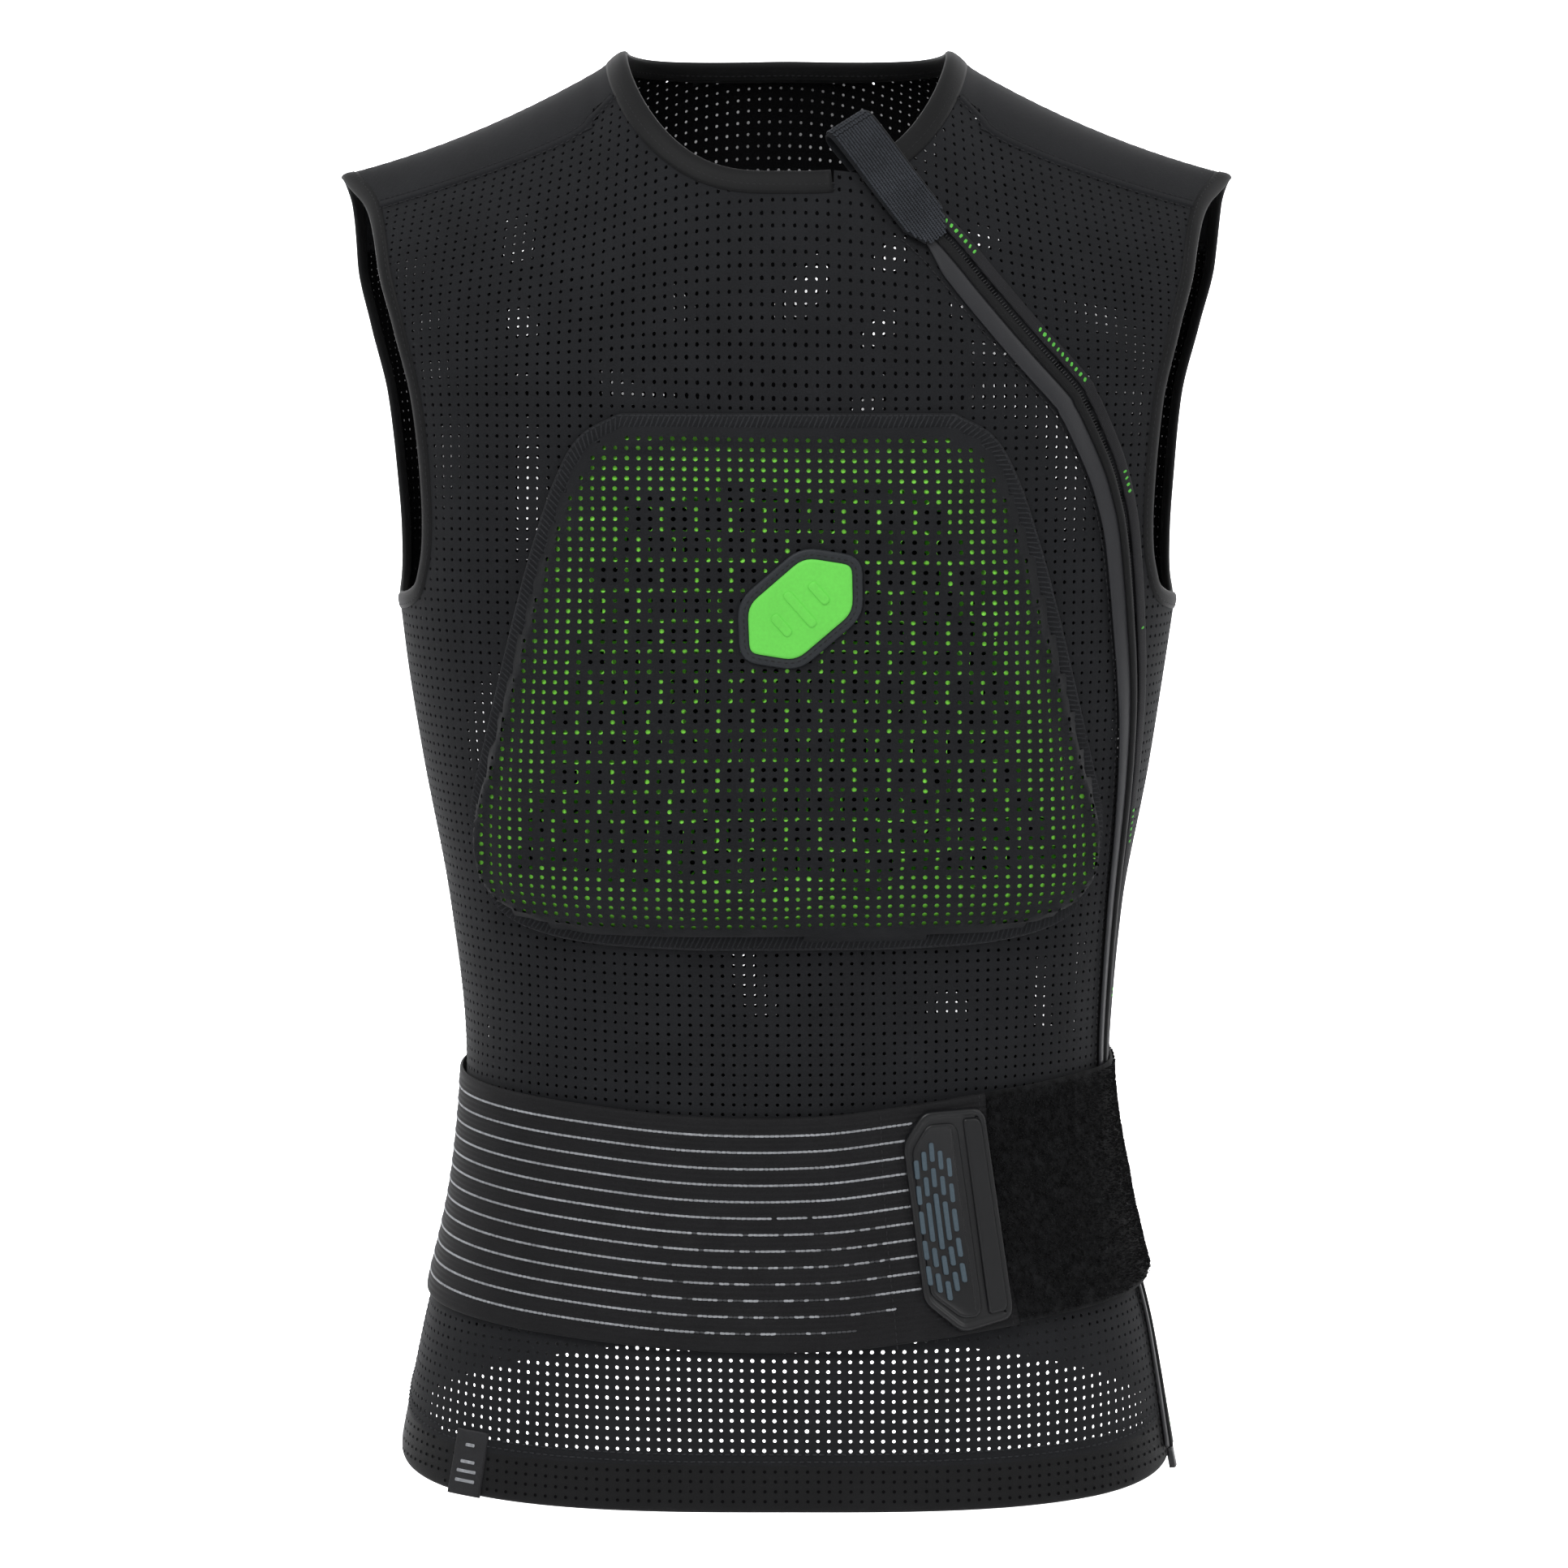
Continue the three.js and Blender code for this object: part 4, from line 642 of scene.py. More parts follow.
# Yokes: plain knit with pressed dots that don't go through
for name, side in (("shoulder_yoke_left", 1), ("shoulder_yoke_right", -1)):
    up, out = np.mgrid[-58:78:69j, 56:240:93j]
    a, v = (side * out).ravel(), up.ravel()
    edge = in_yoke(a, v, -1.5) & ~neck_in(a, v, -UNDER_EDGE) & (np.abs(a) < arm_a(v) + UNDER_EDGE)
    dots = 0.14 * np.cos(2 * math.pi * a / 5.0) * np.cos(2 * math.pi * v / 2.7)
    pts = on(a, v, 1.6 + dots)
    f = grid_faces(*out.shape)
    f = f[edge[f].all(1)]
    if side < 0:
        f = f[:, ::-1]
    make(name + "_cloth", pts, [f], YOKE, nodes=[name], slot="yoke")

# Chest pocket, swelled as cloth over its pad
POCKET_MID = -262
SEAM_HALF = 3.2  # from the pocket's line to where its cloth starts to rise
INNER = 1.6  # height of the pocket's cloth at its seam
CELL = 4.0  # grid of the cloth simulation
PIN_WITHIN = 7


def pocket_ease(a, v, run):
    e = np.clip((reach_in(pocket_line, a, v) - SEAM_HALF) / run, 0, 1)
    return np.sqrt(np.clip(1 - (1 - e) ** 2.3, 0, 1))


def pocket_start(a, v):
    down = np.clip((POCKET_TOP - v) / POCKET_LONG, 0, 1)
    return INNER + (11.5 + 8.0 * down) * pocket_ease(a, v, 36 - 12 * down)


def swell():
    """Height of the pocket's cloth over the body on a coarse grid, from a short cloth simulation."""
    ga = np.arange(-172.0, 172.1, CELL)
    gv = np.arange(-134.0, -386.1, -CELL)
    a, v = np.meshgrid(ga, gv)
    rise = pocket_start(a, v)
    base, nrm = on(a, v), normals(a, v)
    points = base + nrm * rise[..., None]
    f = grid_faces(len(gv), len(ga))
    d = reach_in(pocket_line, a, v).ravel()
    f = f[(d[f] > 0).all(1)]
    me = bpy.data.meshes.new("swell")
    me.from_pydata((points.reshape(-1, 3) / 1000).tolist(), [], f.tolist())
    o = bpy.data.objects.new("swell", me)
    scene.collection.objects.link(o)
    used = np.unique(f)
    pin = o.vertex_groups.new(name="pin")
    pin.add([int(k) for k in used if d[k] < PIN_WITHIN], 1.0, "REPLACE")
    cloth = o.modifiers.new("cloth", "CLOTH")
    s = cloth.settings
    s.quality = 6
    s.use_pressure = True
    s.uniform_pressure_force = 4
    s.effector_weights.gravity = 0
    s.tension_stiffness = s.compression_stiffness = 12
    s.shear_stiffness = 4
    s.bending_stiffness = 0.4
    s.shrink_min = -0.03
    s.vertex_group_mass = "pin"
    for k in range(1, 21):
        scene.frame_set(k)
    got = o.evaluated_get(bpy.context.evaluated_depsgraph_get()).to_mesh()
    flat = np.zeros(len(got.vertices) * 3, np.float32)
    got.vertices.foreach_get("co", flat)
    now = flat.reshape(-1, 3).astype(float) * 1000
    h = ((now.reshape(base.shape) - base) * nrm).sum(-1)
    scene.frame_set(1)
    bpy.data.objects.remove(o)
    h = rise + np.clip(h - rise, -4.0, 6.0)
    mask = np.zeros(h.size, bool)
    mask[used] = True
    return ga, gv, np.where(mask.reshape(h.shape), h, rise)


GA, GV, SWELL = swell()


def pocket_height(a, v):
    x = np.clip((a - GA[0]) / CELL, 0, len(GA) - 1.001)
    y = np.clip((GV[0] - v) / CELL, 0, len(GV) - 1.001)
    i, j = x.astype(int), y.astype(int)
    fx, fy = x - i, y - j
    h = between(SWELL, j, i, fy, fx)
    fade = np.exp(-np.clip(reach_in(pocket_line, a, v) - 4, 0, 99) / 5)
    pucker = 0.5 * np.sin(np.arctan2(v - POCKET_MID, a) * 60) * fade
    return np.maximum(h, INNER) + pucker * 0.5


pocket_cells = Lattice(-134.4, -392.0, pitch=(5.15, 4.55), reach=185)
perforated("chest_pocket_cloth", pocket_cells,
           lambda a, v: reach_in(pocket_line, a, v) > 1.0,
           lambda a, v: reach_in(pocket_line, a, v) > 6.2,
           lambda a, v: pocket_height(a, v) + 1.0, KNIT, wall=0.4, radius=0.21,
           nodes=["chest_pocket"], slot="knit")

# Foam pad: a plain border round a honeycomb of through cells
ga, gv = np.arange(-168.0, 168.1, 1.7), np.arange(-138.0, -384.1, -1.7)
a, v = np.meshgrid(ga, gv)
depth_in = reach_in(pocket_line, a, v)
COMB_A, COMB_V = 16, 13.0
FOAM_IN = 4.4
row = np.round((v - POCKET_MID) / COMB_V)
shift = (row % 2) * COMB_A / 2
ua, uv = (a - shift + COMB_A / 2) % COMB_A - COMB_A / 2, v - POCKET_MID - row * COMB_V
cell = (np.abs(ua) < 5.9) & (np.abs(uv) < 5.5) & (np.abs(ua) / 7.6 + np.abs(uv) / 8.6 < 1.12)
cell &= depth_in > 31 + 4 * np.sin(a / 9 + v / 7)
top = pocket_height(a, v) + 0.2 - 0.95 * np.exp(-np.clip(depth_in - 8, 0, 99) / 9)
top -= 1.6 * np.exp(-np.clip(depth_in - FOAM_IN, 0, 99) / 2.5)
pts = on(a, v, np.where(cell, np.minimum(1.7, top), top))
f = grid_faces(len(gv), len(ga))[:, ::-1]
f = f[(depth_in.ravel()[f] > FOAM_IN).all(1)]
# The cells' floors take the darkened knit: the real black knit under the pad, with painted shade for the cells'
# depth
shaded_cell = cell.ravel()[f].sum(1) >= 3
foam = make("foam_pad", pts, [f], [FOAM, SHADED_KNIT], nodes=["chest_pad"], slot="foam", pick=shaded_cell.astype(int))

# Overlocked edge of the pocket
loop_line = looped(pocket_line)
seam_profile = [(-4.2, 1.2), (-4.2, 2.3), (-3.4, 3.2), (-1.6, 3.75), (0, 3.6), (1.6, 3.75), (3.2, 3.3),
                (4.1, 2.2), (4.1, 1.2)]
sweep("pocket_seam_band", resample(loop_line, 3.0)[:-1], seam_profile, KNIT, closed=True,
      nodes=["pocket_seam"], slot="overlock")
stitch("pocket_seam_threads", loop_line, 2.4, 7.6, 0.9, 0.5, 3.6, SEAM, skew=1.15, slot="overlock")
for k, side in enumerate((-3.0, 3.0)):
    stitch(f"pocket_seam_chain_{k + 1}", loop_line, 2.6, 2.9, 1.0, 0.5, 3.45, SEAM, side=side, slot="overlock")

# Neck, armhole and hem edges
fold = [(2.6, 0.2), (2.4, 1.7), (1.0, 2.15), (-1.5, 2.4), (-4.0, 2.5), (-6.6, 2.2), (-8.4, 1.2), (-8.9, 0.1),
        (-8.3, -1.0), (-6.4, -1.7), (-3.5, -1.8), (0, -1.6), (2.4, -1.2)]
neck = neck_line(200)
neck = np.roll(neck, -int(np.argmin(np.hypot(neck[:, 0] - 24, (neck[:, 1] + 86) * 1.6))), 0)
neck_open = neck[2:-2]
sweep("collar_binding_fold", resample(neck_open, 3.0), np.array(fold) * (-1, 1), BINDING,
      nodes=["collar_binding"], slot="binding")
for k, (side, h) in enumerate(((1.6, 2.25), (-1.1, 1.55))):
    stitch(f"collar_stitches_{k + 1}", neck_open, 3.0, 2.3, 0.55, 0.3, h, THREAD, side=side, slot="binding")
stitch("collar_stitches_inside", neck_open, 3.0, 2.3, 0.55, -0.3, -1.75, THREAD, side=2.0, slot="binding")

arm_fold = [(2.4, 0.2), (2.2, 1.5), (0.6, 2.0), (-2.2, 2.3), (-4.4, 1.9), (-5.6, 0.9), (-5.7, 0.0), (-5.0, -0.9),
            (-3.0, -1.4), (0, -1.4), (2.2, -1.0)]
for name, side in (("armhole_binding_left", 1), ("armhole_binding_right", -1)):
    line = resample(arm_line(side), 4.0)
    sweep(name + "_fold", line, np.array(arm_fold) * (side, 1), BINDING, nodes=[name], slot="binding")
    stitch(f"{name}_stitches_1", line, 3.0, 2.2, 0.5, 0.3, 2.0, THREAD, side=side * 0.4, slot="binding")

# Hem: two layers folded at the bottom, with pressed dots
ZIP_END = -640.0
at_zip = zip_a(ZIP_END)
hem_run = np.linspace(at_zip + 3.2, at_zip - 3.2 + 4 * GIRTH, 330)
hem_rows = [(0.0, 0.0), (1.2, .8), (3.0, 1.15), (6.0, 1.25), (9.0, 1.25), (12.0, 1.25), (15.0, 1.3), (18.0, 1.3),
            (21.0, 1.2), (24.4, 0.9)]
in_rows = [on(hem_run, hem_v(hem_run, up), -h - 0.5) for up, h in hem_rows[::-1]]
out_rows = [on(hem_run, hem_v(hem_run, up), h) for up, h in hem_rows]
pts = np.stack(in_rows + out_rows)
make("hem_band_cloth", pts, [grid_faces(len(pts), len(hem_run))], BINDING, nodes=["hem_band"], slot="binding")
for part, cells in (("front", Lattice(-560.0, -700.0)), ("back", Lattice(560.0, 700.0))):
    j, k = np.mgrid[1:cells.rows, -cells.columns + 1:cells.columns]
    a, v = cells.place(k.ravel().astype(float), j.ravel().astype(float))
    if part == "front":
        up, clear = v - hem_v(a), np.abs(a - zip_a(v)) > 4.5
    else:
        up, clear = -v - hem_v(2 * GIRTH - a), True
    use = (up > 3.0) & (up < 21) & (np.abs(a) < GIRTH) & clear
    a, v = a[use], v[use]
    # Each pressed dot is a flat near-black disk just over the hem: painted shade for its dent
    c, t, b, n = place_frame(a, v, 1.5)
    dots = np.stack([c + 0.8 * (t * math.cos(q) + b * math.sin(q)) + n * 0.03 for q in EIGHT], 1)
    corners = np.arange(len(a))[:, None] * 8 + np.arange(8)
    make(f"hem_dots_{part}", dots, [corners], SHADED_KNIT, slot="binding", smooth=False)
for k, up in enumerate((24.0, 27.5)):
    line = np.stack([hem_run, hem_v(hem_run, up)], -1)
    stitch(f"hem_stitches_{k + 1}", line, 3.4, 2.7, 0.8, 0.5, 1.55, SEAM, slot="binding")

# Zip, guard and garage. To the left of the downward line is the wearer's left
zline = resample(zip_line, 4.0)


def flat_strip(name, near, far, low_h, high_h, mat, **kw):
    """A strip beside the zip, between two distances from its line."""
    sweep(name, zline, oval(abs(far - near) / 2, low_h, high_h, 12, 3.2) + ((near + far) / 2, 0), mat, **kw)


flat_strip("zip_tape_outer_cloth", 1.7, 7.4, 1.2, 3.0, TAPE, nodes=["zip_tape_outer"], slot="zip")
flat_strip("zip_tape_inner_cloth", -1.7, -7.0, 1.2, 2.3, TAPE, nodes=["zip_tape_inner"], slot="zip")
GUARD_HALF, GUARD_GAP = 4.4, 5.2
guard_line = zline[zline[:, 1] < -92]
p, _, b, n = line_frame(guard_line, 0)
far = 4.0 * np.arange(len(p))
widen = np.interp(far, [0, 26, 250, 330, far[-1]], [0.25, 1.0, 1.15, 0.8, 0.7])[:, None, None]
profile = oval(GUARD_HALF, 1.4, 3.3, 14, 2.4)
pts = (p[:, None] + b[:, None] * (profile[None, :, :1] * widen - GUARD_GAP - GUARD_HALF * widen)
       + n[:, None] * profile[None, :, 1:])
make("zip_guard_strip", pts, tube_faces(len(p), len(profile)), GUARD, nodes=["zip_guard"], slot="guard")
flat_strip("zip_guard_piping", -1.6, -5.9, 1.3, 4.4, BINDING, slot="guard")
stitch("zip_guard_stitches", guard_line, 3.2, 2.4, 0.5, 0.3, 1.5, THREAD, side=-16.0, slot="guard")
stitch("zip_teeth", zip_line, 1.5, 3.4, 0.75, 1.0, 0.9, TOOTH, skew=math.pi / 2, jitter=0.0,
       nodes=["zip_coil"], slot="zip")
TICKS = [(-92.5, -100.5), (-115, -127.5), (-164.5, -174.5), (-235, -239), (-325, -341), (-412, -419),
         (-603, -630)]


def is_tick(at):
    return np.any([(at[:, 1] < start) & (at[:, 1] > end) for start, end in TICKS], 0)


stitch("zip_ticks", zip_line, 3.1, 1.5, 1.9, 0.25, 3.0, GREEN, side=4.8, jitter=0.15, skew=0.3, gap=is_tick,
       slot="zip")


def tab_path(lift, bend=4.4):
    """The tab's own line, from inside the collar, over it and down the front."""
    places = np.array([(.11, -.83), (.175, -.955), (.245, -1.07)]) * (GIRTH, NECK_FRONT)
    p, t, b, n = line_frame(resample(spline(places, 12), 2.0), lift)
    turn_over = np.linspace(math.pi, 0, 9)[:-1, None]
    middle = p[0] - n[0] * bend
    over = middle + n[0] * bend * np.cos(turn_over) - t[0] * (bend + 1.0) * np.sin(turn_over)
    over_n = n[0] * np.cos(turn_over) - t[0] * np.sin(turn_over)
    over_t = t[0] * np.cos(turn_over) + n[0] * np.sin(turn_over)
    tail = middle - n[0] * bend + t[0] * np.linspace(14, 2, 5)[:, None]
    return [np.concatenate(way) for way in (
        (tail, over, p), (np.repeat(-t[:1], 5, 0), over_t, t), (np.repeat(b[:1], 13, 0), b),
        (np.repeat(-n[:1], 5, 0), over_n, n))]


P, T, B, N = tab_path(4.6)
half_w = np.interp(np.arange(len(P)), [0, 10, len(P) - 6, len(P) - 1], [11.4, 11.8, 11.2, 6.5])
profile = oval(1.0, -1.25, 1.25, 16, 3.0)
pts = P[:, None] + B[:, None] * profile[None, :, :1] * half_w[:, None, None] + N[:, None] * profile[None, :, 1:]
make("zip_garage_tab", pts, tube_faces(len(P), len(profile)), GARAGE, nodes=["zip_garage"], slot="garage")
knots, skews = [], []
for k in range(-8, 9):
    off = k * 1.38
    ok = np.abs(off) < half_w - 1
    for half_step in (0.0, 1.0):
        knots.append([way[ok] for way in (P + B * off + N * 1.2 + T * half_step, T, B, N)])
        skews.append(np.full(int(ok.sum()), 0.62 if k % 2 else -0.62))
beads("zip_garage_knit", *[np.concatenate(way) for way in zip(*knots)], 1.7, 0.8, 0.5, GARAGE_KNIT,
      skew=np.concatenate(skews), slot="garage")
end = np.array([(at_zip, ZIP_END + 1), (at_zip, ZIP_END - 8.6)])
sweep("zip_end_block", resample(end, 2.0), oval(3.4, 0.2, 3.4, 12, 4.0), TOOTH, nodes=["zip_end_box"], slot="zip")

# Moulded plates


def rounded(poly, radius, steps=4):
    """An outline with its corners rounded."""
    p = np.asarray(poly, float)
    out = []
    for k in range(len(p)):
        to_last, to_next = p[k - 1] - p[k], p[(k + 1) % len(p)] - p[k]
        cut = min(radius, 0.48 * np.linalg.norm(to_last), 0.48 * np.linalg.norm(to_next))
        q0 = p[k] + to_last / np.linalg.norm(to_last) * cut
        q2 = p[k] + to_next / np.linalg.norm(to_next) * cut
        for t in np.linspace(0, 1, steps):
            out.append((1 - t) ** 2 * q0 + 2 * t * (1 - t) * p[k] + t * t * q2)
    return np.array(out)


def box(x0, x1, y0, y1, radius):
    return rounded([(x0, y0), (x1, y0), (x1, y1), (x0, y1)], radius)


def signed_area(poly):
    x, y = poly[:, 0], poly[:, 1]
    return 0.5 * (x * np.roll(y, -1) - np.roll(x, -1) * y).sum()


def shrink(poly, by):
    """An outline moved inwards by a distance."""
    t = unit(unit(poly - np.roll(poly, 1, 0)) + unit(np.roll(poly, -1, 0) - poly))
    return poly + np.stack([-t[:, 1], t[:, 0]], -1) * (1 if signed_area(poly) > 0 else -1) * by


def plate(name, outline, rings, place, mat, **kw):
    """A plate from its outline, with rings of (inset, height); place maps flat points to the surface."""
    outline = outline if signed_area(outline) > 0 else outline[::-1]
    count = len(outline)
    pts = [place(shrink(outline, inset), h) for inset, h in rings]
    sides = grid_faces(len(rings), count, closed=True)
    top = (np.arange(count) + (len(rings) - 1) * count)[None]
    return make(name, np.concatenate(pts), [sides, top], mat, **kw)


# Pull patch on the belt
BELT_OUT = 4.7  # height of the belt's outer face, 1.5 over its inner face
GRIP_A, GRIP_V, GRIP_LEAN = 87.0, -512.0, 0.045
GRIP_SIZE = (40, 104)
GRIP_H = BELT_OUT + 2.3
grip_stretch = np.linalg.norm(body(GRIP_A + 2, GRIP_V) - body(GRIP_A - 2, GRIP_V)) / 4


def turned(q, by):
    return q[:, 0] * math.cos(by) - q[:, 1] * math.sin(by), q[:, 0] * math.sin(by) + q[:, 1] * math.cos(by)


def grip_place(q, h):
    x, y = turned(q, GRIP_LEAN)
    return on(GRIP_A + x / grip_stretch, GRIP_V + y, GRIP_H + h)


def grip_plate(name, shape, radius, rings, **kw):
    """A plate of the patch, its corners given as shares of the patch's width and height."""
    plate(name, rounded(np.array(shape) * GRIP_SIZE, radius), rings, grip_place, GRIP, slot="grip", **kw)


grip_plate("belt_grip_plate", [(-.24, .5), (.40, .5), (.5, .455), (.5, -.42), (.44, -.47), (-.10, -.51),
                               (-.46, -.36), (-.5, .36)], 4.0,
           [(0, -0.2), (0, 1.6), (0.5, 2.6), (1.3, 3.0), (2.3, 2.9), (3.0, 2.2), (4.2, 1.9)], nodes=["belt_grip"])
grip_plate("belt_grip_field", [(-.40, .33), (-.2, .44), (.10, .44), (.16, .40), (.16, -.40), (.10, -.445),
                               (-.08, -.445), (-.38, -.33)], 3.0,
           [(0, 1.8), (0.2, 2.5), (1.0, 2.75), (1.8, 2.6), (2.4, 2.3)])
grip_plate("belt_grip_strip", [(.22, .455), (.40, .455), (.45, .42), (.45, -.40), (.41, -.43), (.22, -.44)], 2.0,
           [(0, 1.8), (0.3, 2.9), (1.0, 3.2), (1.6, 3.2)])
BAR_HALF, BAR_LONG, BAR_GAP = 1.2, 9.2, 2.8
number = 0
for column, share in enumerate((.106, .178, .255, .178, .106)):
    x = -7 + (column - 2) * 3.8
    middle = share * GRIP_SIZE[1]
    top_y = (4 * (BAR_LONG + BAR_GAP) + middle) / 2
    for r in range(5):
        long = middle if r == 2 else BAR_LONG
        number += 1
        shape = box(x - BAR_HALF, x + BAR_HALF, top_y, top_y - long, BAR_HALF)
        plate(f"raised_bar_{number:02d}", shape, [(0, 2.2), (0.05, 2.8), (0.35, 3.15), (0.6, 3.15)],
              grip_place, BAR, nodes=[f"grip_bar_{number:02d}"], slot="bar")
        top_y -= long + BAR_GAP

# Badge on the pocket
BADGE_A, BADGE_V, BADGE_TILT = 6.0, -224.0, 0.72
BADGE_LONG, BADGE_HALF = 36, 21


def badge_place(q, h):
    """The badge lies half as bent as the pocket under it."""
    x, y = turned(q, BADGE_TILT)
    middle = pocket_height(np.array([BADGE_A]), np.array([BADGE_V]))[0]
    return on(BADGE_A + x, BADGE_V + y, 0.5 * (pocket_height(BADGE_A + x, BADGE_V + y) + middle) + 1.3 + h)


corner = BADGE_LONG * .52
hexagon = rounded([(BADGE_LONG, 0), (corner, BADGE_HALF), (-corner, BADGE_HALF), (-BADGE_LONG, 0),
                   (-corner, -BADGE_HALF), (corner, -BADGE_HALF)], 8.0, 6)
plate("badge_rim_plate", hexagon,
      [(0, -0.4), (0, 1.1), (0.5, 1.6), (1.1, 1.75), (4.2, 1.75), (4.6, 1.4), (5.0, 1.3)],
      badge_place, RIM, nodes=["badge_rim"], slot="badge_rim")
plate("badge_face_plate", shrink(hexagon, 4.6), [(0, 1.2), (0, 2.2), (0.5, 2.7), (1.2, 2.85), (2.0, 2.85)],
      badge_place, FACE, nodes=["badge_face"], slot="badge_face")
stem = looped(shrink(hexagon, 2.6))
s = lengths(stem)
at = np.arange(0, s[-1] - 1, 3.0)
p = badge_place(np.stack([np.interp(at, s, stem[:, 0]), np.interp(at, s, stem[:, 1])], -1), 1.75)
t = unit(np.roll(p, -1, 0) - np.roll(p, 1, 0))
n = normals(np.full(len(p), BADGE_A), np.full(len(p), BADGE_V))
beads("badge_stitches", p, t, np.cross(n, t), n, 2.1, 0.7, 0.35, THREAD, slot="badge_rim")
for k, (x, long) in enumerate(((-11, 12), (0, 20), (11, 12))):
    plate(f"badge_groove_{k + 1}", box(x - 2.2, x + 2.2, long / 2, -long / 2, 2.0),
          [(0, 2.7), (0.2, 3.2), (0.7, 3.35), (1.1, 3.35)], badge_place, FACE, slot="badge_face")

# Belt
ELASTIC_START, ELASTIC_END, LOOP_START, LOOP_END, BEHIND_END = -300, 108, 60, 262, 659.4
BELT_WALL, BELT_LEAN = 1.5, 7


def elastic_h(a, down=0):
    """The elastic rises where it laps over the loop panel."""
    return BELT_OUT + 1.9 * np.clip((a - 8) / 26, 0, 1)


def behind_h(a, down):
    return np.full(np.shape(a), BELT_OUT)


def loop_h(a, down):
    """The loop panel stands off over the zip and at the wearer's side, less at its upper edge."""
    w = np.clip((a - 120) / 110, 0, 1)
    low = np.clip(down / 60, 0, 1)
    over_zip = 2.4 * np.exp(-((a - 196) / 22) ** 2)
    return BELT_OUT + w * w * (3 - 2 * w) * (-1.0 + 4.4 * low) + over_zip * np.clip(1 - down / 60, 0, 1)


def belt_piece(name, start, end, lean, cols, rows, height, mat, rib=0.0, **kw):
    """A piece of the belt with both faces, its ribs and its rims."""
    share = np.linspace(0, 1, cols)
    down = np.linspace(0, BELT_LONG, rows)[:, None]
    a = (start + (end - start) * share)[None, :] + lean * share[None, :] * (down / BELT_LONG)
    v = belt_top(start + (end - start) * share)[None, :] - down
    edge = np.minimum(down, BELT_LONG - down)
    lifted = height(a, down)
    outer = lifted + rib * np.cos(2 * math.pi * down / 2.57) * np.clip(edge / 3 - 0.5, 0, 1) \
        - 0.9 * np.clip(1 - edge / 1.4, 0, 1) ** 2
    count, last = rows * cols, (rows - 1) * cols
    i, r = np.arange(cols - 1), np.arange(rows - 1) * cols
    faces = [
        grid_faces(rows, cols)[:, ::-1], grid_faces(rows, cols, base=count),
        np.stack([i, i + 1, count + i + 1, count + i], -1),
        np.stack([last + i + 1, last + i, count + last + i, count + last + i + 1], -1),
        np.stack([r + cols, count + r + cols, count + r, r], -1),
        np.stack([r + cols - 1, count + r + cols - 1, count + r + 2 * cols - 1, r + 2 * cols - 1], -1)]
    points = [on(a, v, h).reshape(-1, 3) for h in (outer, lifted - BELT_WALL)]
    make(name, np.concatenate(points), faces, mat, **kw)


belt_piece("belt_elastic_cloth", ELASTIC_START, ELASTIC_END, BELT_LEAN, 150, 172, elastic_h, ELASTIC, rib=0.22,
           nodes=["belt_elastic"], slot="elastic")
belt_piece("belt_back_cloth", 262.6, BEHIND_END, 0, 140, 90, behind_h, ELASTIC, rib=0.2,
           nodes=["belt_back"], slot="elastic")
belt_piece("belt_loop_cloth", LOOP_START, LOOP_END, 0, 90, 60, loop_h, LOOP,
           nodes=["belt_loop_panel"], slot="loop")


def belt_row(at, over):
    """Frames of stitches on the elastic."""
    p, t, b, n = line_frame(at, 0)
    return on(at[:, 0], at[:, 1], elastic_h(at[:, 0]) + over), t, b, n


STRIPE_ENDS = (67, 66, 66, 67, 68, 68, 68, 68, 67, 67, 66, 50, 30)
for k, end_a in enumerate(STRIPE_ENDS):
    down = 8.3 + 7.72 * k
    a = np.arange(-296, end_a, 2.0)
    leant = a + BELT_LEAN * down / BELT_LONG * (a - ELASTIC_START) / (ELASTIC_END - ELASTIC_START)
    at = resample(np.stack([leant, belt_top(a) - down], -1), 2.35)
    row = belt_row(at, 0.2)
    wear = np.clip((at[:, 0] + 90) / 90, 0, 1) * np.clip((k - 4) / 5, 0, 1)
    slow = 0.5 + 0.5 * np.sin(at[:, 0] / 5.3 + 2.4 * k) * np.sin(at[:, 0] / 2.1 + k)
    worn = (slow < 0.62 * wear) & (at[:, 0] < 52)
    beads(f"belt_stripe_{k + 1:02d}", *[way[~worn] for way in row], 2.9, 1.1, 0.3, SILVER, slot="elastic")
    if worn.sum() > 3:
        beads(f"belt_stripe_worn_{k + 1:02d}", *[way[worn] for way in row], 2.6, 0.9, 0.25, SILVER_WORN,
              slot="elastic")
for name, from_a, to_a, from_v, to_v in (("belt_stitches", 51, 53.5, -463.5, -571),
                                         ("belt_edge_stitches", 104.5, 111.5, -455, -562)):
    line = np.stack([np.linspace(from_a, to_a, 40), np.linspace(from_v, to_v, 40)], -1)
    beads(name, *belt_row(resample(line, 3.2), 0.15), 2.3, 0.6, 0.35, THREAD, slot="elastic")

# Loop pile: short bent hairs on the loop panel
HAIRS = 15000
a = rng.uniform(ELASTIC_END, LOOP_END - 3, HAIRS)
down = rng.uniform(1.5, 108.5, HAIRS)
v = belt_top(a) - down
root = on(a, v, loop_h(a, down) - 0.05)
_, t, b, n = place_frame(a, v, 0)
ang = rng.uniform(0, 2 * math.pi, (HAIRS, 1))
lean = t * np.cos(ang) + b * np.sin(ang)
tall = rng.uniform(0.7, 1.5, (HAIRS, 1))
wide = np.cross(n, lean) * rng.uniform(0.14, 0.26, (HAIRS, 1))
lean *= rng.uniform(0.5, 1.1, (HAIRS, 1))
knee, tip = root + lean * .5 + n * tall, root + lean * 1.1 + n * tall * .5
pts = np.stack([root - wide, root + wide, knee - wide, knee + wide, tip - wide, tip + wide], 1)
base = 6 * np.arange(HAIRS)[:, None]
make("belt_loop_pile", pts, [np.concatenate([base + (0, 1, 3, 2), base + (2, 3, 5, 4)])], LOOP, slot="loop",
     smooth=False)

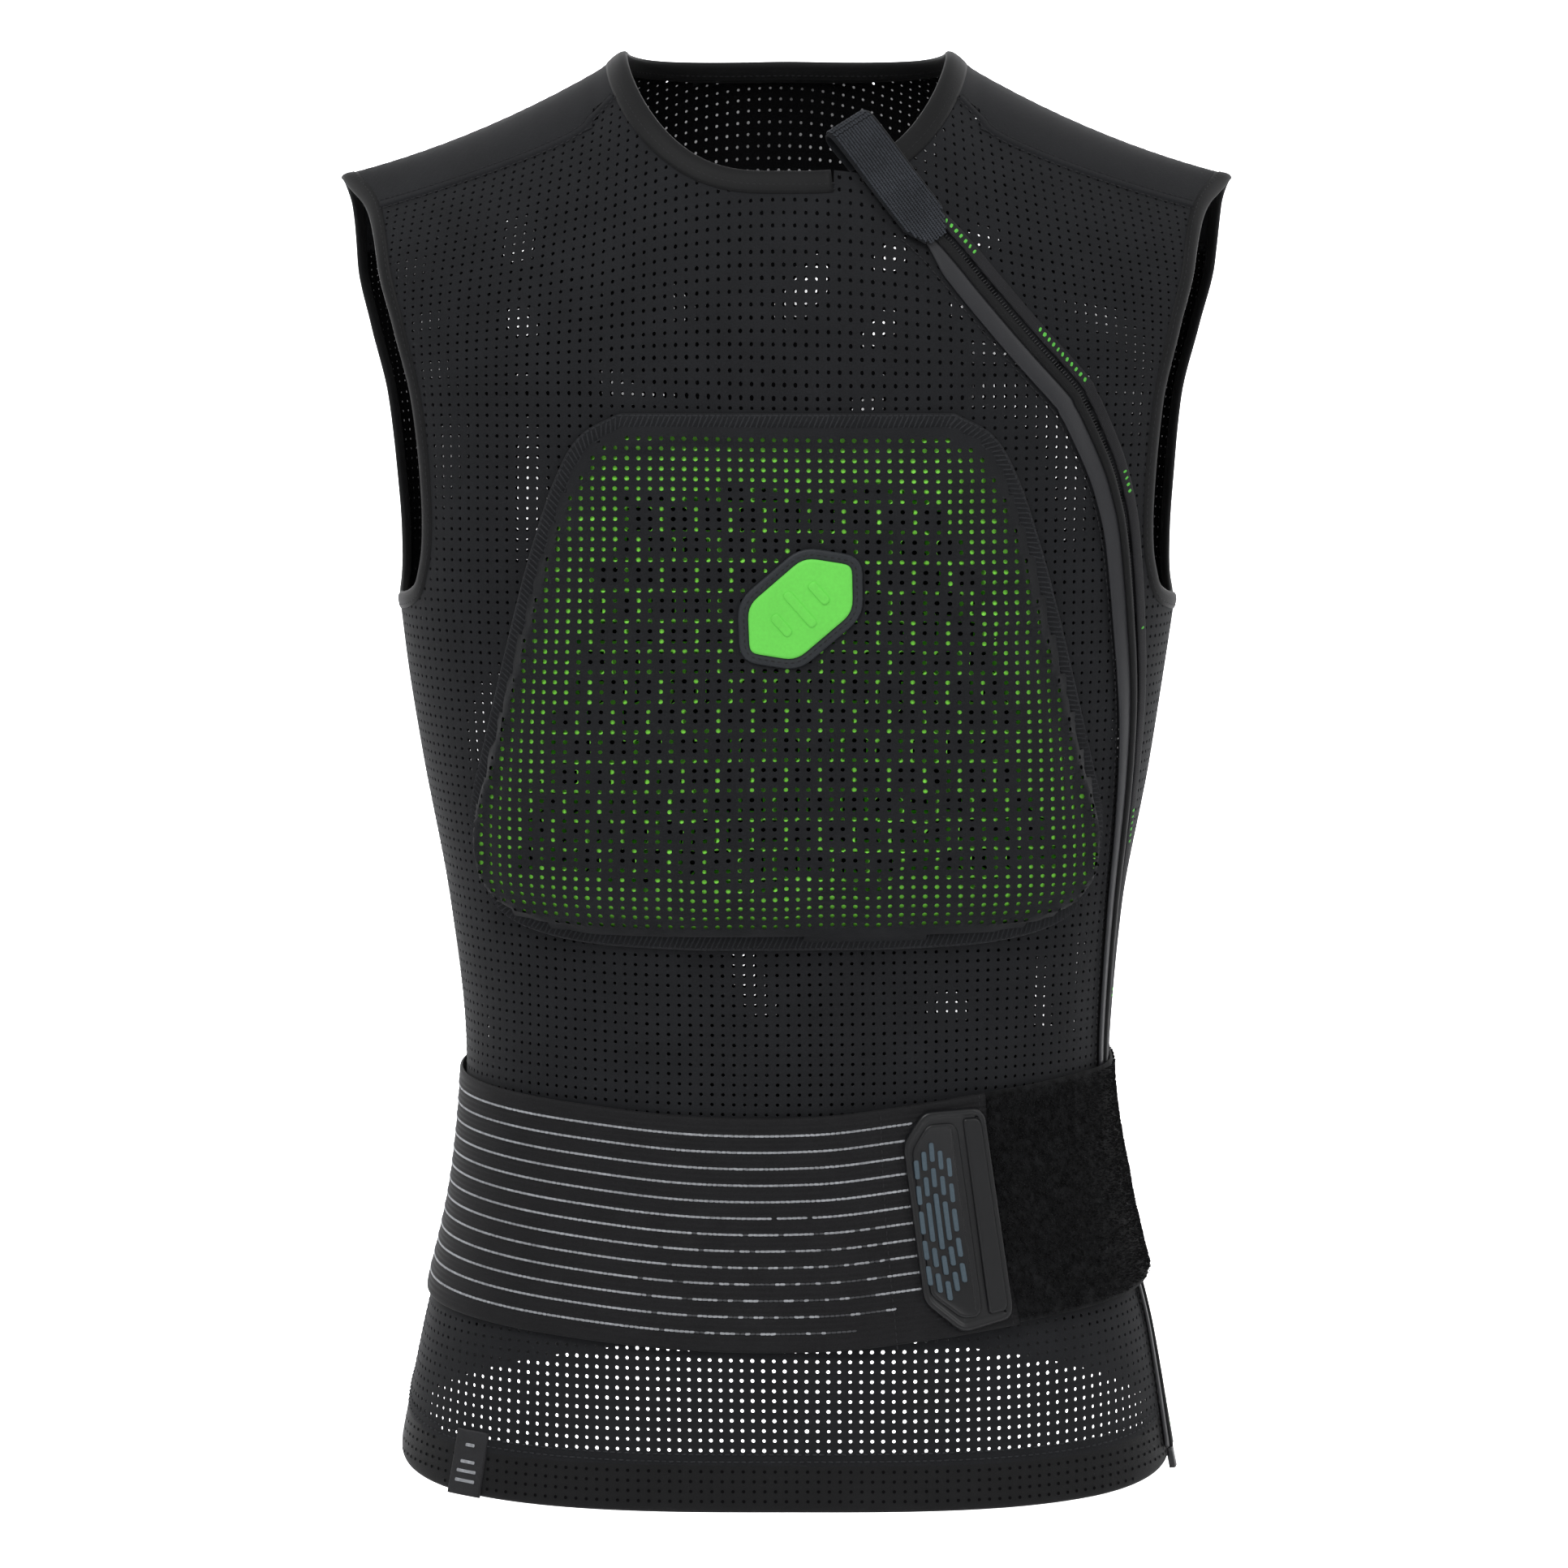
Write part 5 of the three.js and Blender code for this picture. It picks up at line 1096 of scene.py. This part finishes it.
# Side seams, yoke seams and label
side_ridge = [(-2.2, 1.1), (-1.2, 1.6), (0, 1.35), (1.2, 1.6), (2.2, 1.1)]
yoke_ridge = [(-2.2, 1.0), (-1.2, 2.05), (0, 1.75), (1.2, 2.05), (2.2, 1.0)]
yoke_front = [(70, -46), (78, -50), (88, -55), (140, -55), (176, -55)]
yoke_back = [(63, 24), (80, 39.5), (100, 57.5), (113, 69), (128, 74.5), (160, 75), (207, 75)]
for name, side in (("left", 1), ("right", -1)):
    line = np.stack([np.full(100, GIRTH * side), np.linspace(-233, -622, 100)], -1)
    sweep(f"side_seam_{name}", resample(line, 4.0), side_ridge, KNIT, shut=False, slot="knit")
    stitch(f"side_seam_stitches_{name}", line, 3.0, 3.4, 0.6, 0.35, 1.45, THREAD, skew=0.9, slot="knit")
    for part, places in (("front", yoke_front), ("back", yoke_back)):
        line = spline(np.array(places) * (side, 1), 8)
        sweep(f"yoke_seam_{part}_{name}", resample(line, 4.0), yoke_ridge, YOKE, shut=False, slot="yoke")
        for k, off in enumerate((-2.6, 2.6)):
            stitch(f"yoke_stitches_{part}_{name}_{k + 1}", line, 3.0, 2.2, 0.5, 0.3, 1.7, THREAD, side=off,
                   slot="yoke")

LABEL_A, LABEL_HALF, LABEL_LONG = -152.0, 9, 30


def label_place(q, h):
    return on(LABEL_A + q[:, 0], hem_v(LABEL_A) + q[:, 1], 1.7 + h)


label = np.array([(-LABEL_HALF, -0.8), (LABEL_HALF, -0.8), (LABEL_HALF, LABEL_LONG), (-LABEL_HALF, LABEL_LONG)])
sides = [np.linspace(p, q, 6, endpoint=False) for p, q in zip(label, np.roll(label, -1, 0))]
plate("hem_label_cloth", np.concatenate(sides), [(0, -0.5), (0.1, 0.5), (0.6, 0.75), (1.0, 0.75)],
      label_place, LABEL, nodes=["hem_label"], slot="label")
for k, (y, half) in enumerate(((6.0, 5.4), (10.5, 5.4), (15.0, 4.0), (23.0, 2.6))):
    plate(f"label_bar_{k + 1}", box(-half, half, y - 0.8, y + 0.8, 0.6),
          [(0, 0.7), (0.1, 0.95), (0.3, 1.0)], label_place, SILVER, slot="label")

# Floor, backdrop and lights
FLOOR_Z = -1.0
profile = [(-3.0, FLOOR_Z), (2.2, FLOOR_Z), (2.8, FLOOR_Z + 0.08), (3.2, FLOOR_Z + 0.35),
           (3.4, FLOOR_Z + 0.8), (3.4, 3.0)]
pts = [(x, y, z) for y, z in profile for x in (-5.0, 5.0)]
me = bpy.data.meshes.new("floor")
me.from_pydata(pts, [], [(2 * k, 2 * k + 1, 2 * k + 3, 2 * k + 2) for k in range(len(profile) - 1)])
me.materials.append(FLOOR)
floor = bpy.data.objects.new("floor", me)
scene.collection.objects.link(floor)


def area(name, place, aim, size, power):
    light = bpy.data.lights.new(name, "AREA")
    light.shape = "RECTANGLE"
    light.size, light.size_y = size
    light.energy = power
    o = bpy.data.objects.new(name, light)
    o.location = place
    o.rotation_euler = (Vector(aim) - Vector(place)).to_track_quat("-Z", "Y").to_euler()
    scene.collection.objects.link(o)


area("key", (-0.7, -1.7, 1.6), (0, 0, -0.3), (1.2, 0.9), 29)
area("fill", (1.9, -1.4, 0.7), (0, 0, -0.35), (0.6, 1.6), 9)
area("rim_left", (-1.6, 0.9, 0.3), (0, 0, -0.35), (0.5, 1.8), 8)
area("rim_right", (1.6, 0.9, 0.3), (0, 0, -0.35), (0.5, 1.8), 8)
area("back_light", (0, 1.6, 0.6), (0, 3.4, -0.3), (3.0, 2.0), 150)
world = bpy.data.worlds.new("world")
scene.world = world
world.use_nodes = True
world.node_tree.nodes["Background"].inputs["Color"].default_value = (1, 1, 1, 1)
world.node_tree.nodes["Background"].inputs["Strength"].default_value = 0.52
scene.view_settings.view_transform = "Standard"
